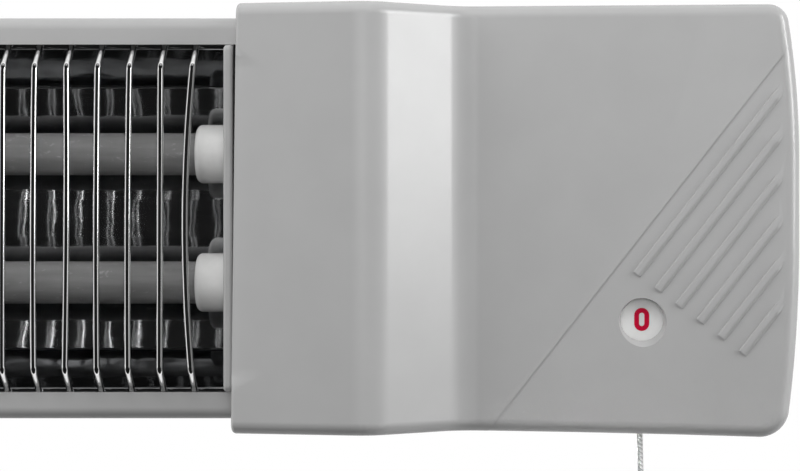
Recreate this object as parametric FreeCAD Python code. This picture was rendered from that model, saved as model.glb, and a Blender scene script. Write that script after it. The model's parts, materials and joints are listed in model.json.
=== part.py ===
"""Wall-mounted quartz heater with a tilting bracket and a pull-cord switch.

Millimetres. X runs along the heater, Z is up, the front faces -Y and the wall is the plane y = 0.
The origin is the middle of the wall bracket's two screw holes, on the wall.
"""
import FreeCAD, Part
import math
import os

# Whole heater
overall_length = 550.0
control_length = 179.9       # moulded control cover, along X
end_cover_length = 45.0      # moulded cover of the other end, along X
wall_gap = 43.5              # from the wall to the back of the covers
fit_gap = 0.3                # between fixed pieces that slide into each other
running_gap = 0.05           # between a shaft or pivot and its bore
thread_gap = 0.1             # between a fastener and its hole
path_trim = 0.45             # share of the shorter run that a free bend takes
head_dome = 0.42             # share of a screw head's height that is rounded

# Steel housing
housing_depth = 39.0
housing_sheet = 1.0
housing_bend = 4.0
rim_width = 8.8              # front rim folded over the guard's ends
cover_overlap = 14.0         # housing inside each moulded cover

# Moulded covers
cover_height = 136.8
cover_step = 3.2             # the covers stand this much above and below the housing
cover_wall = 2.5
inner_round = 0.5            # smallest round inside the covers
cover_corner = 6.5
lower_end_corner = 9.5
front_round = 4.2
edge_round = 1.5             # on the covers' edges beside the guard
end_bow = 4.4                # how far the outer ends bow out
end_flat_top = 20.0          # the outer ends are straight from here, above the middle
end_flat_low = 9.0           # to here, below it
edge_lean = 1.7              # the control cover's inner edge leans by this much
low_flare = 1.7              # the control cover's underside drops this much, right of the ridge
edge_depth = 105.5           # wall to front, at the cover's edge beside the guard
ridge_run = 44.4             # from that edge to the ridge
ridge_depth = 115.0
ridge_round = 15.0
valley_run = 72.3            # from that edge to the foot of the slope
valley_depth = 93.0
valley_round = 14.0
right_depth = 102.5          # wall to front, at the right end
left_depth = 99.0            # wall to front, at the left end
bevel_width = 11.0           # roll-off along the guard, on the control cover's edge
bevel_depth = 1.8
bevel_fade = 9.0             # it runs out over this much at each end
# Run-out of the roll-off: share of that length, share of the full size
bevel_run_out = ((0.0, 0.1), (0.35, 0.35), (0.7, 0.8), (1.0, 1.0))

# Low panel, its ribs and the window; insets from the right end, rises from the underside
panel_step = 0.35            # the lower right panel lies this much deeper
panel_edge_inset = 81.2      # a point on the panel's slanting edge
panel_edge_rise = 23.6
rib_angle = 52.0             # ribs and panel edge, up to the right
rib_count = 6
rib_row_angle = 36.8         # row of the ribs' lower ends, down to the right
rib_pitch = 8.36             # along that row
rib_width = 3.2
rib_height = 0.8
rib_round = 0.5              # upper edge and end of a rib
rib_soft_round = 1.5         # lower edge of a rib
rib_fade = 6.0               # ribs slope down to the panel over this much
rib_start_inset = 51.7       # lower left end of the first rib
rib_start_rise = 50.5
rib_end_margin = 4.0         # ribs stop this far from the right end
window_inset = 50.2
window_rise = 36.0
window_radius = 6.85
window_rim = 1.0             # the dished rim is this much wider than the window
window_rim_drop = 0.9        # and sits lower by this much
window_rim_depth = 1.5

# Back of the control box
post_diameter = 8.0
post_inset = 10.0            # post centres from the outline
cover_screw_diameter = 3.0
cover_screw_length = 14.0
screw_head_diameter = 6.4
screw_head_height = 2.2
housing_screw_z = 40.0
gland_inset = 85.0           # from the right end
gland_rise = 24.0            # from the underside
gland_bore = 7.0
gland_body = 12.0
gland_flange = 17.0
gland_flange_height = 3.0
gland_reach = 12.0           # from the back cover into the box

# Reflector, tube plates and guard
reflector_sheet = 0.6
reflector_gap = 3.0          # behind the reflector
reflector_lip = 1.1          # how far the flange shows below the rim
trough_flat = 12.0           # flat back behind each tube
trough_side = 17.0           # height of the slanted side outwards from it
trough_tilt = 12.0
ridge_tilt = 8.0             # sides of the fold between the tubes
ridge_flat = 12.6
sheet_bend = 1.5             # inside radius of the mirror sheet's folds
plate_sheet = 1.2
plate_margin = 3.2           # from the cover's edge to the middle of the tube plate
hem_width = 3.0
hem_round = 1.1
nose_round = 2.0             # corners of the tube plates' front edge
nose_reach = 1.0             # that edge stands out past the wires
hem_depth = 3.0
wire_diameter = 2.2
wire_pitch = 10.15
wire_margin = 11.9           # last wire from the right tube plate
wire_front = 92.5            # wall to the front of the guard
wire_shoulder = 7.8          # from the rim's edge to the guard's bend
wire_bend = 3.5
wire_knee = 1.3              # from the rim's edge to the bend behind it
wire_tuck = 4.5              # wire end behind the rim
wire_lean = 0.5              # sideways over the guard's height

# Heating elements
tube_diameter = 14.0
tube_wall = 1.3
tube_spacing = 42.6
tube_depth = 66.0            # wall to tube axis
coil_diameter = 8.0
coil_wire = 0.5
cap_diameter = 19.4
cap_length = 12.8
cap_bore_depth = 9.0
cap_neck_diameter = 12.0
cap_neck_length = 12.0
cap_round = 2.0
pin_diameter = 3.0
pin_length = 7.0

# Wall bracket and pivots
bracket_margin = 5.1         # from the control cover to the bracket's ears
bracket_sheet = 2.0
strip_bend = 2.0             # inside radius of the bracket's and the lugs' bends
bracket_height = 30.0
screw_inset = 30.0           # wall screws from the bracket's ears
wall_hole_diameter = 5.5
pivot_depth = 32.0           # wall to pivot axis
ear_radius = 11.0
lug_sheet = 2.0
lug_foot = 26.0
washer_thickness = 1.6
washer_diameter = 16.0
pivot_diameter = 6.0
pivot_head_diameter = 11.0
pivot_head_height = 4.0
nut_width = 10.0
nut_height = 5.0
thread_end = 1.0             # pivot bolt past its nut
rivet_diameter = 4.0
rivet_head = 7.0
rivet_head_height = 1.4
rivet_spacing = 12.0

# Pull switch, dial and cord
dial_radius = 17.5
dial_thickness = 2.0
dial_drop = 2.9              # from the window's edge back to the dial's face
dial_gap = 0.4               # dial to the pocket in the cover's inner face
dial_margin = 0.7            # pocket past the dial's edge
numeral_radius = 10.0        # dial axis above the window
hub_diameter = 6.0
hub_wall = 6.7               # switch case between the dial's hub and the rod's channel
switch_width = 36.0
switch_height = 52.0
switch_lift = 10.0           # above the cover's underside
switch_gap = 1.0             # behind the dial
switch_rear = 10.0           # from the cord back to the switch's rear
switch_ear = 11.0
switch_ear_thickness = 3.0
switch_ear_setback = 9.0     # from the switch's front to its ears
switch_ear_rise = 28.0       # ears above the switch's bottom
rod_width = 6.0
rod_length = 20.0
pull_travel = 21.0
cord_inset = 49.9            # from the right end
cord_depth = 70.0            # wall to the cord
cord_diameter = 2.0
spring_diameter = 5.0
spring_bore = 3.4
bush_diameter = 7.0
bush_bore = 3.4
bush_mouth = 6.2
bush_flange = 11.0
bush_flange_height = 1.6
knob_diameter = 12.0
knob_neck_diameter = 5.0
knob_length = 24.0
knob_shares = (0.22, 0.45, 0.72, 0.88)  # of its length: shoulder, waist, belly and lower turn
knob_foot = 0.78             # of the widest radius
# Hanging cord below its exit: sideways, forwards, down
cord_route = ((0.0, 0.0, 0.0), (0.7, 0.0, -22.0), (1.2, -0.4, -50.0), (1.1, -0.3, -78.0))

# Terminals and leads
block_inset = 125.0          # from the right end
block_rise = 48.0            # from the underside
block_length = 36.0
block_width = 16.0
block_height = 14.0
block_screw_diameter = 4.0
block_screw_spacing = 11.0
block_screw_depth = 6.0
block_screw_recess = 1.0
block_slot_depth = 1.0
tab_width = 6.3
tab_length = 8.0
tab_thickness = 0.8
tab_spacing = 14.0
lead_diameter = 2.4

# Places that follow from the sizes above
right_end = overall_length / 2
left_end = -overall_length / 2
control_left = right_end - control_length
end_cover_right = left_end + end_cover_length
back_y = -wall_gap
housing_back_y = back_y - cover_wall
housing_front_y = housing_back_y - housing_depth
housing_right = control_left + cover_overlap
housing_left = end_cover_right - cover_overlap
half_cover = cover_height / 2
half_housing = half_cover - cover_step
rim_z = half_housing - rim_width
wire_bend_z = rim_z - wire_shoulder
right_plate_x = control_left - plate_margin
left_plate_x = end_cover_right + plate_margin
wire_radius = wire_diameter / 2
wire_tuck_y = housing_front_y + housing_sheet + wire_radius + running_gap
flange_y = wire_tuck_y + wire_radius + running_gap
nose_y = -wire_front - nose_reach
reflector_y = housing_back_y - housing_sheet - reflector_gap
tube_y = -tube_depth
tube_z = tube_spacing / 2
pivot_y = -pivot_depth
bracket_span = 2 * (control_left - bracket_margin)
screw_spacing = bracket_span - 2 * screw_inset
cord_x = right_end - cord_inset
cord_y = -cord_depth
front_slope = (right_depth - valley_depth) / (control_length - valley_run)
panel_edge_x = right_end - panel_edge_inset
panel_edge_z = panel_edge_rise - half_cover
rib_start_x = right_end - rib_start_inset
rib_start_z = rib_start_rise - half_cover
window_x = right_end - window_inset
window_z = window_rise - half_cover
gland_x = right_end - gland_inset
gland_z = gland_rise - half_cover
block_x = right_end - block_inset
block_z = block_rise - half_cover
window_depth = valley_depth + front_slope * (window_x - control_left - valley_run) - panel_step
dial_depth = window_depth - dial_drop
dial_z = window_z + numeral_radius
switch_front = dial_depth - dial_thickness - switch_gap
switch_back = cord_depth - switch_rear
switch_bottom = switch_lift - half_cover
switch_top = switch_bottom + switch_height
switch_ear_depth = switch_front - switch_ear_setback - switch_ear_thickness
switch_ear_z = switch_bottom + switch_ear_rise
hub_length = switch_front - cord_depth - rod_width / 2 - fit_gap - hub_wall


def vec(x, y, z):
    return FreeCAD.Vector(x, y, z)


def box(x0, x1, y0, y1, z0, z1):
    """A block between two corners."""
    return Part.makeBox(x1 - x0, y1 - y0, z1 - z0, vec(x0, y0, z0))


def rod(start, direction, length, diameter):
    """A round bar from a point along a direction."""
    return Part.makeCylinder(diameter / 2, length, start, direction)


def rounded_path(points, bend=None):
    """Straight runs joined by tangent arcs; also returns the arcs' radii.

    Without a bend radius each arc takes a fixed share of the shorter run beside it.
    """
    edges = []
    radii = []
    start = points[0]
    for before, here, after in zip(points, points[1:], points[2:]):
        run_in = here - before
        run_out = after - here
        half_turn = run_in.getAngle(run_out) / 2
        trim = path_trim * min(run_in.Length, run_out.Length)
        if bend:
            trim = bend * math.tan(half_turn)
        radius = trim / math.tan(half_turn)
        radii.append(radius)
        unit_in = run_in / run_in.Length
        unit_out = run_out / run_out.Length
        enter = here - unit_in * trim
        leave = here + unit_out * trim
        inward = unit_out - unit_in
        inward = inward / inward.Length
        middle = here + inward * (radius / math.cos(half_turn) - radius)
        edges.append(Part.LineSegment(start, enter).toShape())
        edges.append(Part.Arc(enter, middle, leave).toShape())
        start = leave
    edges.append(Part.LineSegment(start, points[-1]).toShape())
    return Part.Wire(edges), radii


def tube(points, diameter, bend=None):
    """A round bar along a rounded path."""
    path = rounded_path(points, bend)[0]
    ring = Part.Wire(Part.makeCircle(diameter / 2, points[0], points[1] - points[0]))
    return path.makePipeShell([ring], True, False)


def revolve(outline, origin, axis, across):
    """Turn an outline of (radius, height) corners about an axis."""
    corners = [origin + across * radius + axis * height for radius, height in outline]
    face = Part.Face(Part.makePolygon(corners + corners[:1]))
    return face.revolve(origin, axis, 360)


def screw(head_under, direction, shank, length):
    """Pan-head screw: the point is under the head, the direction is the way it goes in."""
    head = rod(head_under - direction * screw_head_height, direction, screw_head_height,
               screw_head_diameter)
    dome = [edge for edge in head.Edges if edge.Closed
            and edge.BoundBox.Center.sub(head_under).dot(direction) < -screw_head_height / 2]
    head = head.makeFillet(screw_head_height * head_dome, dome[:1])
    return head.fuse(rod(head_under, direction, length, shank)).removeSplitter()


def save(name, shape):
    """Write one node; a list is a group of separate solids."""
    if isinstance(shape, list):
        shape = Part.makeCompound(shape)
    shape.exportStep("parts/" + name + ".step")


# Moulded covers


def end_arc(begin, corner):
    """Arc of an outer end, from its straight middle to a corner."""
    bow = begin.x - corner.x
    rise = corner.z - begin.z
    radius = (rise ** 2 + bow ** 2) / (2 * bow)
    half_turn = math.asin(rise / radius) / 2
    middle = begin + vec(radius * math.cos(half_turn) - radius, 0, radius * math.sin(half_turn))
    return Part.Arc(begin, middle, corner).toShape()


def cover_outline(left, right, lean, flare, lower_corner, inset):
    """Prism of a cover seen from the front; the right end is the heater's end."""
    half = half_cover - inset
    top_left = vec(left + lean / 2 + inset, 0, half)
    low_left = vec(left - lean / 2 + inset, 0, -half)
    end_x = right - end_bow - inset
    top_right = vec(end_x, 0, half)
    low_right = vec(end_x, 0, -half - flare)
    end_top = vec(right - inset, 0, end_flat_top)
    end_low = vec(right - inset, 0, -end_flat_low)
    edges = [Part.LineSegment(low_left, top_left).toShape(), Part.LineSegment(top_left, top_right).toShape(),
             end_arc(end_top, top_right), Part.LineSegment(end_top, end_low).toShape(),
             end_arc(end_low, low_right)]
    if flare:
        begin = vec(left + ridge_run, 0, -half)
        middle = vec((begin.x + end_x) / 2, 0, -half - flare / 4)
        edges.append(Part.LineSegment(low_left, begin).toShape())
        edges.append(Part.Arc(begin, middle, low_right).toShape())
    else:
        edges.append(Part.LineSegment(low_left, low_right).toShape())
    face = Part.Face(Part.Wire(Part.__sortEdges__(edges)))
    front = -2 * ridge_depth
    face.translate(vec(0, front, 0))
    prism = face.extrude(vec(0, back_y - front, 0))
    for corner, radius in ((top_right, cover_corner), (low_right, lower_corner)):
        upright = [edge for edge in prism.Edges
                   if edge.BoundBox.YLength > ridge_depth
                   and abs(edge.BoundBox.Center.x - corner.x) < 0.01
                   and abs(edge.BoundBox.Center.z - corner.z) < 0.01]
        prism = prism.makeFillet(max(radius - inset, inner_round), upright)
    return prism


def front_profile(corners, bends, inset):
    """Prism of a cover seen from above, from its front corners (x, depth) back past the wall side."""
    points = [vec(x, inset - depth, 0) for x, depth in corners]
    edges = []
    start = points[0]
    for before, here, after, bend in zip(points, points[1:], points[2:], bends):
        piece = rounded_path([before, here, after], bend)[0].Edges
        edges.append(Part.LineSegment(start, piece[0].Vertexes[1].Point).toShape())
        edges.append(piece[1])
        start = piece[2].Vertexes[0].Point
    edges.append(Part.LineSegment(start, points[-1]).toShape())
    back = [vec(points[-1].x, back_y, 0), vec(points[0].x, back_y, 0)]
    edges.append(Part.LineSegment(points[-1], back[0]).toShape())
    edges.append(Part.LineSegment(back[0], back[1]).toShape())
    edges.append(Part.LineSegment(back[1], points[0]).toShape())
    face = Part.Face(Part.Wire(edges))
    face.translate(vec(0, 0, -cover_height))
    return face.extrude(vec(0, 0, 2 * cover_height))


def facing(face):
    """A face's normal at its middle."""
    u0, u1, v0, v1 = face.ParameterRange
    return face.normalAt((u0 + u1) / 2, (v0 + v1) / 2)


def rounded_front(block, inset):
    """Round the rim of the front face, less so along the edge beside the guard."""
    front_edges = []
    for face in block.Faces:
        if facing(face).y < -0.5:
            front_edges.extend(face.Edges)
    side = [face for face in block.Faces if facing(face).x < -0.9][0]
    rim = [edge for edge in front_edges
           if sum(1 for other in front_edges if other.isSame(edge)) == 1
           and not any(other.isSame(edge) for other in side.Edges)]
    block = block.makeFillet(max(front_round - inset, inner_round), rim)
    side = [face for face in block.Faces if facing(face).x < -0.9][0]
    chain = [edge for edge in side.Edges if edge.BoundBox.YMin < back_y - front_round]
    return block.makeFillet(max(edge_round - inset, inner_round), chain)


def control_block(inset):
    """The control cover's outer form, or its cavity when inset by the wall."""
    past = 3 * cover_wall
    edge_slope = (ridge_depth - edge_depth) / ridge_run
    corners = ((control_left - past, edge_depth - past * edge_slope),
               (control_left + ridge_run, ridge_depth),
               (control_left + valley_run, valley_depth),
               (right_end + past, right_depth + past * front_slope))
    outline = cover_outline(control_left, right_end, edge_lean, low_flare,
                            lower_end_corner, inset)
    block = outline.common(front_profile(corners, (ridge_round, valley_round), inset))
    return rounded_front(block, inset)


def end_block(inset):
    """The other cover's form, built for the right end and mirrored."""
    past = 3 * cover_wall
    inner = -end_cover_right
    outer = -left_end
    slope = (edge_depth - left_depth) / end_cover_length
    corners = ((inner - past, edge_depth), (inner + end_cover_length / 3, edge_depth),
               (outer + past, left_depth - slope * past))
    outline = cover_outline(inner, outer, 0, 0, lower_end_corner, inset)
    block = outline.common(front_profile(corners, (end_cover_length,), inset))
    block = rounded_front(block, inset)
    return block.mirror(vec(0, 0, 0), vec(1, 0, 0))


def low_front_y(x):
    """The low plane right of the valley, before the panel's step."""
    return -valley_depth - front_slope * (x - control_left - valley_run)


def panel_region():
    """Everything to the lower right of the panel's slanting edge."""
    along = vec(math.cos(math.radians(rib_angle)), 0, math.sin(math.radians(rib_angle)))
    across = vec(along.z, 0, -along.x)
    point = vec(panel_edge_x, -2 * ridge_depth, panel_edge_z)
    reach = overall_length
    corners = [point - along * reach, point + along * reach,
               point + along * reach + across * reach, point - along * reach + across * reach]
    face = Part.Face(Part.makePolygon(corners + corners[:1]))
    return face.extrude(vec(0, 2 * ridge_depth - valley_depth / 2, 0))


def ribs():
    """Parallel ribs that lie on the low panel, crisp above and soft below, square ends in a row."""
    angle = math.radians(rib_angle)
    row = math.radians(rib_row_angle)
    along = vec(math.cos(angle), -front_slope * math.cos(angle), math.sin(angle))
    along = along / along.Length
    sideways = vec(math.sin(angle), -front_slope * math.sin(angle), -math.cos(angle))
    sideways = sideways / sideways.Length
    outward = along.cross(sideways)
    outward = outward / outward.Length
    if outward.y > 0:
        outward = outward * -1
    sideways = outward.cross(along)
    root = cover_wall / 2
    bars = []
    for number in range(rib_count):
        x = rib_start_x + number * rib_pitch * math.cos(row)
        z = rib_start_z - number * rib_pitch * math.sin(row)
        length = (right_end - rib_end_margin - x) / math.cos(angle)
        top = root + rib_height
        side = [vec(0, 0, 0), vec(length, 0, 0), vec(length, 0, root / 2), vec(length - rib_fade, 0, top),
                vec(0, 0, top)]
        bar = Part.Face(Part.makePolygon(side + side[:1])).extrude(vec(0, rib_width, 0))
        lower_side = [edge for edge in bar.Edges if edge.BoundBox.ZMax > root
                      and edge.BoundBox.XMax > rib_width and edge.BoundBox.YMax < rib_width / 2]
        bar = bar.makeFillet(rib_soft_round, lower_side)
        upper_side = [edge for edge in bar.Edges if edge.BoundBox.ZMax > root
                      and edge.BoundBox.XMax > rib_width and edge.BoundBox.YMin > rib_width - rib_round / 2]
        bar = bar.makeFillet(rib_round, upper_side)
        seat = vec(x, low_front_y(x) + panel_step, z) - outward * root - sideways * (rib_width / 2)
        place = FreeCAD.Matrix(along.x, sideways.x, outward.x, seat.x,
                               along.y, sideways.y, outward.y, seat.y,
                               along.z, sideways.z, outward.z, seat.z,
                               0, 0, 0, 1)
        bars.append(bar.transformGeometry(place))
    return bars


def window_cut():
    """Round window with a dished rim that is deeper at its lower side."""
    front = -window_depth
    inner = Part.Wire(Part.makeCircle(window_radius, vec(window_x, front + window_rim_depth, window_z),
                                      vec(0, 1, 0)))
    outer = Part.Wire(Part.makeCircle(window_radius + window_rim,
                                      vec(window_x, front, window_z - window_rim_drop),
                                      vec(0, 1, 0)))
    dish = Part.makeLoft([outer, inner], True, True)
    mouth = rod(vec(window_x, front - cover_wall, window_z - window_rim_drop), vec(0, 1, 0),
                cover_wall, 2 * (window_radius + window_rim))
    hole = rod(vec(window_x, front - cover_wall, window_z), vec(0, 1, 0), 4 * cover_wall,
               2 * window_radius)
    return [dish, mouth, hole]


def post_places():
    """Screw posts of the control box, (x, z)."""
    right_x = right_end - end_bow - post_inset
    left_x = housing_right + post_inset
    post_z = half_cover - post_inset
    return [(x, z) for x in (left_x, right_x) for z in (post_z, -post_z)]


def switch_post_places():
    """Posts that hold the switch's two ears, (x, z)."""
    reach = switch_width / 2 + switch_ear / 2
    return [(cord_x - reach, switch_ear_z), (cord_x + reach, switch_ear_z)]


def roll_off_wire(z, share):
    """Section of what the roll-off takes away, at a height and a share of its full size."""
    slope = (ridge_depth - edge_depth) / ridge_run
    left = control_left - edge_lean
    width = (bevel_width + edge_lean) * share
    drop = bevel_depth * share
    front = edge_depth - slope * edge_lean
    begin = vec(left, drop - front, z)
    stop = vec(left + width, -front - slope * width, z)
    middle = vec(left + width / 2, drop / 4 - front - slope * width / 2, z)
    ahead = vec(left, -2 * edge_depth, z)
    return Part.Wire([Part.Arc(begin, middle, stop).toShape(), Part.LineSegment(stop, ahead).toShape(),
                      Part.LineSegment(ahead, begin).toShape()])


def roll_off():
    """What the rounded edge beside the guard takes away; it runs out at the rims."""
    heights = [(rim_z - bevel_fade * along, share) for along, share in bevel_run_out]
    heights += [(-z, share) for z, share in reversed(heights)]
    return Part.makeLoft([roll_off_wire(z, share) for z, share in heights], True, True)


def control_cover():
    """Moulded front with ridge, slope, low panel, ribs and window."""
    high = control_block(0)
    sunk = high.copy()
    sunk.translate(vec(0, panel_step, 0))
    region = panel_region()
    outer = high.cut(region).fuse(sunk.common(region)).removeSplitter()
    outer = outer.fuse(ribs())
    outer = outer.cut(roll_off())
    cavity = control_block(cover_wall)
    cover = outer.cut(cavity)
    into = vec(0, 1, 0)
    for x, z in post_places():
        post = rod(vec(x, -ridge_depth, z), into, ridge_depth + housing_back_y, post_diameter)
        cover = cover.fuse(post.common(cavity))
        cover = cover.cut(rod(vec(x, housing_back_y, z), into * -1, cover_screw_length,
                              cover_screw_diameter + thread_gap))
    for x, z in switch_post_places():
        post = rod(vec(x, -ridge_depth, z), into, ridge_depth - switch_ear_depth - switch_ear_thickness,
                   post_diameter)
        cover = cover.fuse(post.common(cavity))
        pilot = rod(vec(x, -switch_ear_depth - switch_ear_thickness, z), into * -1,
                    cover_screw_length / 2, cover_screw_diameter + thread_gap)
        cover = cover.cut(pilot)
    inside_housing = box(control_left - edge_lean, housing_right, housing_front_y - fit_gap,
                         back_y, -half_housing - fit_gap, half_housing + fit_gap)
    cover = cover.cut(inside_housing)
    for cutter in window_cut():
        cover = cover.cut(cutter)
    cover = cover.cut(rod(vec(window_x, -dial_depth - dial_gap, dial_z), into, 2 * cover_wall,
                          2 * (dial_radius + dial_margin)))
    cover = cover.cut(rod(vec(cord_x, cord_y, -cover_height), vec(0, 0, 1),
                          cover_height - half_cover + 2 * cover_wall, bush_diameter + 2 * thread_gap))
    return cover.removeSplitter()


def control_back_cover():
    """Flat plate that closes the control box, over the end of the housing."""
    outline = cover_outline(control_left, right_end, edge_lean, low_flare, lower_end_corner,
                            cover_wall + fit_gap)
    plate = outline.common(box(control_left, right_end, housing_back_y, back_y,
                               -cover_height, cover_height))
    for x, z in post_places() + housing_screw_places():
        if x > control_left:
            plate = plate.cut(rod(vec(x, back_y, z), vec(0, -1, 0), cover_wall,
                                  cover_screw_diameter + thread_gap))
    return plate.cut(rod(vec(gland_x, back_y, gland_z), vec(0, -1, 0), cover_wall,
                         gland_body + 2 * thread_gap))


def housing_screw_places():
    """Screws through the covers' backs into the housing, (x, z)."""
    right_x = housing_right - cover_overlap / 2
    left_x = housing_left + cover_overlap / 2
    return [(x, z) for x in (right_x, left_x) for z in (housing_screw_z, -housing_screw_z)]


def left_end_cover():
    """Moulded cup over the left end of the housing, with its own back."""
    cavity = end_block(cover_wall)
    cavity = cavity.common(box(left_end, right_end, -2 * ridge_depth, housing_back_y,
                               -cover_height, cover_height))
    cover = end_block(0).cut(cavity)
    inside_housing = box(housing_left, end_cover_right + cover_wall, housing_front_y - fit_gap,
                         housing_back_y, -half_housing - fit_gap, half_housing + fit_gap)
    cover = cover.cut(inside_housing)
    for x, z in housing_screw_places():
        if x < 0:
            cover = cover.cut(rod(vec(x, back_y, z), vec(0, -1, 0), cover_wall,
                                  cover_screw_diameter + thread_gap))
    return cover.removeSplitter()


# Housing, reflector, plates and guard


def rounded_channel(inset, x0, x1):
    """The housing's section with rounded bends, inset by a wall."""
    block = box(x0, x1, housing_front_y + inset, housing_back_y - inset,
                inset - half_housing, half_housing - inset)
    bends = [edge for edge in block.Edges if edge.BoundBox.XLength > (x1 - x0) / 2]
    return block.makeFillet(max(housing_bend - inset, housing_sheet / 2), bends)


def rear_housing():
    """Folded steel channel, open at the front between its two rims."""
    channel = rounded_channel(0, housing_left, housing_right)
    hollow = rounded_channel(housing_sheet, left_end, right_end)
    channel = channel.cut(hollow)
    opening = box(left_end, right_end, housing_front_y - housing_sheet, housing_front_y + 2 * housing_sheet,
                  -rim_z, rim_z)
    channel = channel.cut(opening)
    through = housing_sheet * 2
    for x, z in housing_screw_places():
        channel = channel.cut(rod(vec(x, housing_back_y, z), vec(0, -1, 0), through,
                                  cover_screw_diameter + thread_gap))
    for x, z in rivet_places():
        channel = channel.cut(rod(vec(x, housing_back_y, z), vec(0, -1, 0), through,
                                  rivet_diameter + thread_gap))
    return channel


def reflector_section():
    """Front outline of the mirror sheet, (y, z) from the top lip to the bottom lip."""
    flange_top = half_housing - housing_sheet - fit_gap
    lip_z = rim_z - reflector_lip
    flat_top = tube_z + trough_flat / 2
    side_y = reflector_y - trough_side * math.tan(math.radians(trough_tilt))
    ridge_foot = tube_z - trough_flat / 2
    ridge_height = (ridge_foot - ridge_flat / 2) * math.tan(math.radians(ridge_tilt))
    upper = [(flange_y, flange_top), (flange_y, lip_z), (side_y, flat_top + trough_side),
             (reflector_y, flat_top), (reflector_y, ridge_foot),
             (reflector_y - ridge_height, ridge_flat / 2)]
    return upper + [(y, -z) for y, z in reversed(upper)]


def reflector():
    """Folded mirror sheet: a trough behind each tube, a fold between and a lip at each rim."""
    x0 = left_plate_x + plate_sheet / 2 + running_gap
    x1 = right_plate_x - plate_sheet / 2 - running_gap
    path = rounded_path([vec(x0, y, z) for y, z in reflector_section()], sheet_bend)[0]
    band = path.makeOffset2D(-reflector_sheet, 0, True, True)
    sheet = Part.Face(band)
    return sheet.extrude(vec(x1 - x0, 0, 0))


def guard_points(tuck):
    """Centre line of a guard wire, from behind the top rim to behind the bottom rim."""
    wire_y = -wire_front + wire_radius
    knee = rim_z - wire_knee
    upper = [vec(0, wire_tuck_y, rim_z + tuck), vec(0, wire_tuck_y, knee), vec(0, wire_y, wire_bend_z)]
    return upper + [vec(0, point.y, -point.z) for point in reversed(upper)]


def guard_wires():
    """Bowed wires, side by side, with their ends behind the rims."""
    wire = tube(guard_points(wire_tuck), wire_diameter, wire_bend)
    wire.rotate(vec(0, 0, 0), vec(0, 1, 0), math.degrees(math.atan(wire_lean / (2 * rim_z))))
    wires = []
    room = right_plate_x - left_plate_x - 2 * wire_margin
    for number in range(1 + int(room / wire_pitch)):
        copy = wire.copy()
        copy.translate(vec(right_plate_x - wire_margin - number * wire_pitch, 0, 0))
        wires.append(copy)
    return wires


def plate_nose(x, width, nose_z, back):
    """The part of a tube plate that stands out between the rims, with rounded corners."""
    nose = box(x - width / 2, x + width / 2, nose_y, back, -nose_z, nose_z)
    corners = [edge for edge in nose.Edges if edge.BoundBox.XLength > width / 2
               and edge.BoundBox.YMax < back]
    return nose.makeFillet(nose_round, corners)


def tube_plate(x):
    """End plate of the trough; its hemmed front edge follows the guard's bow."""
    nose_z = rim_z - 2 * fit_gap
    plate = rounded_channel(housing_sheet + fit_gap, x - plate_sheet / 2, x + plate_sheet / 2)
    plate = plate.fuse(plate_nose(x, plate_sheet, nose_z, tube_y))
    hem = plate_nose(x, hem_width, nose_z, nose_y + hem_depth)
    front = [edge for edge in hem.Edges if edge.BoundBox.XLength < hem_width / 2
             and edge.BoundBox.YMin < nose_y + hem_depth / 2]
    plate = plate.fuse(hem.makeFillet(hem_round, front)).removeSplitter()
    for z in (tube_z, -tube_z):
        plate = plate.cut(rod(vec(x - hem_width, tube_y, z), vec(1, 0, 0), 2 * hem_width,
                              cap_neck_diameter + 2 * thread_gap))
    notch = lead_diameter + 2 * fit_gap
    return plate.cut(rod(vec(x - hem_width, return_lead_y(), 0), vec(1, 0, 0), 2 * hem_width, notch))


# Heating elements


def tube_ends():
    """X of the two ends of a quartz tube, seated in its caps."""
    right = right_plate_x - plate_sheet / 2 - cap_length + cap_bore_depth
    left = left_plate_x + plate_sheet / 2 + cap_length - cap_bore_depth
    return left, right


def quartz_tube(z):
    left, right = tube_ends()
    start = vec(left, tube_y, z)
    outside = rod(start, vec(1, 0, 0), right - left, tube_diameter)
    return outside.cut(rod(start, vec(1, 0, 0), right - left, tube_diameter - 2 * tube_wall))


def heating_coil(z):
    """Envelope of the wound wire inside the milky tube."""
    left, right = tube_ends()
    start = vec(left, tube_y, z)
    winding = rod(start, vec(1, 0, 0), right - left, coil_diameter)
    return winding.cut(rod(start, vec(1, 0, 0), right - left, coil_diameter - 2 * coil_wire))


def ceramic_cap(plate_x, outward, z):
    """Cap that holds a tube's end and passes through its plate."""
    axis = vec(outward, 0, 0)
    seat = vec(plate_x, tube_y, z) - axis * (plate_sheet / 2 + running_gap)
    mouth = seat - axis * (cap_length - running_gap)
    body = rod(mouth, axis, cap_length - running_gap, cap_diameter)
    lip = [edge for edge in body.Edges if edge.Closed and abs(edge.BoundBox.Center.x - mouth.x) < 0.01]
    body = body.makeFillet(cap_round, lip)
    body = body.fuse(rod(seat, axis, cap_neck_length, cap_neck_diameter))
    body = body.cut(rod(mouth, axis, cap_bore_depth, tube_diameter + 2 * thread_gap))
    neck_end = seat + axis * cap_neck_length
    return body.cut(rod(neck_end, axis * -1, pin_length, pin_diameter)).removeSplitter()


def cap_terminals():
    """Contact pins in the outer ends of the four caps."""
    pins = []
    for plate_x, outward in ((right_plate_x, 1), (left_plate_x, -1)):
        for z in (tube_z, -tube_z):
            pins.append(rod(pin_root(plate_x, outward, z), vec(outward, 0, 0), 2 * pin_length,
                            pin_diameter))
    return pins


def pin_root(plate_x, outward, z):
    reach = cap_neck_length - plate_sheet / 2 - running_gap - pin_length
    return vec(plate_x + outward * reach, tube_y, z)


def pin_tip(plate_x, outward, z):
    return pin_root(plate_x, outward, z) + vec(outward * 2 * pin_length, 0, 0)


# Wall bracket and pivots


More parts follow.
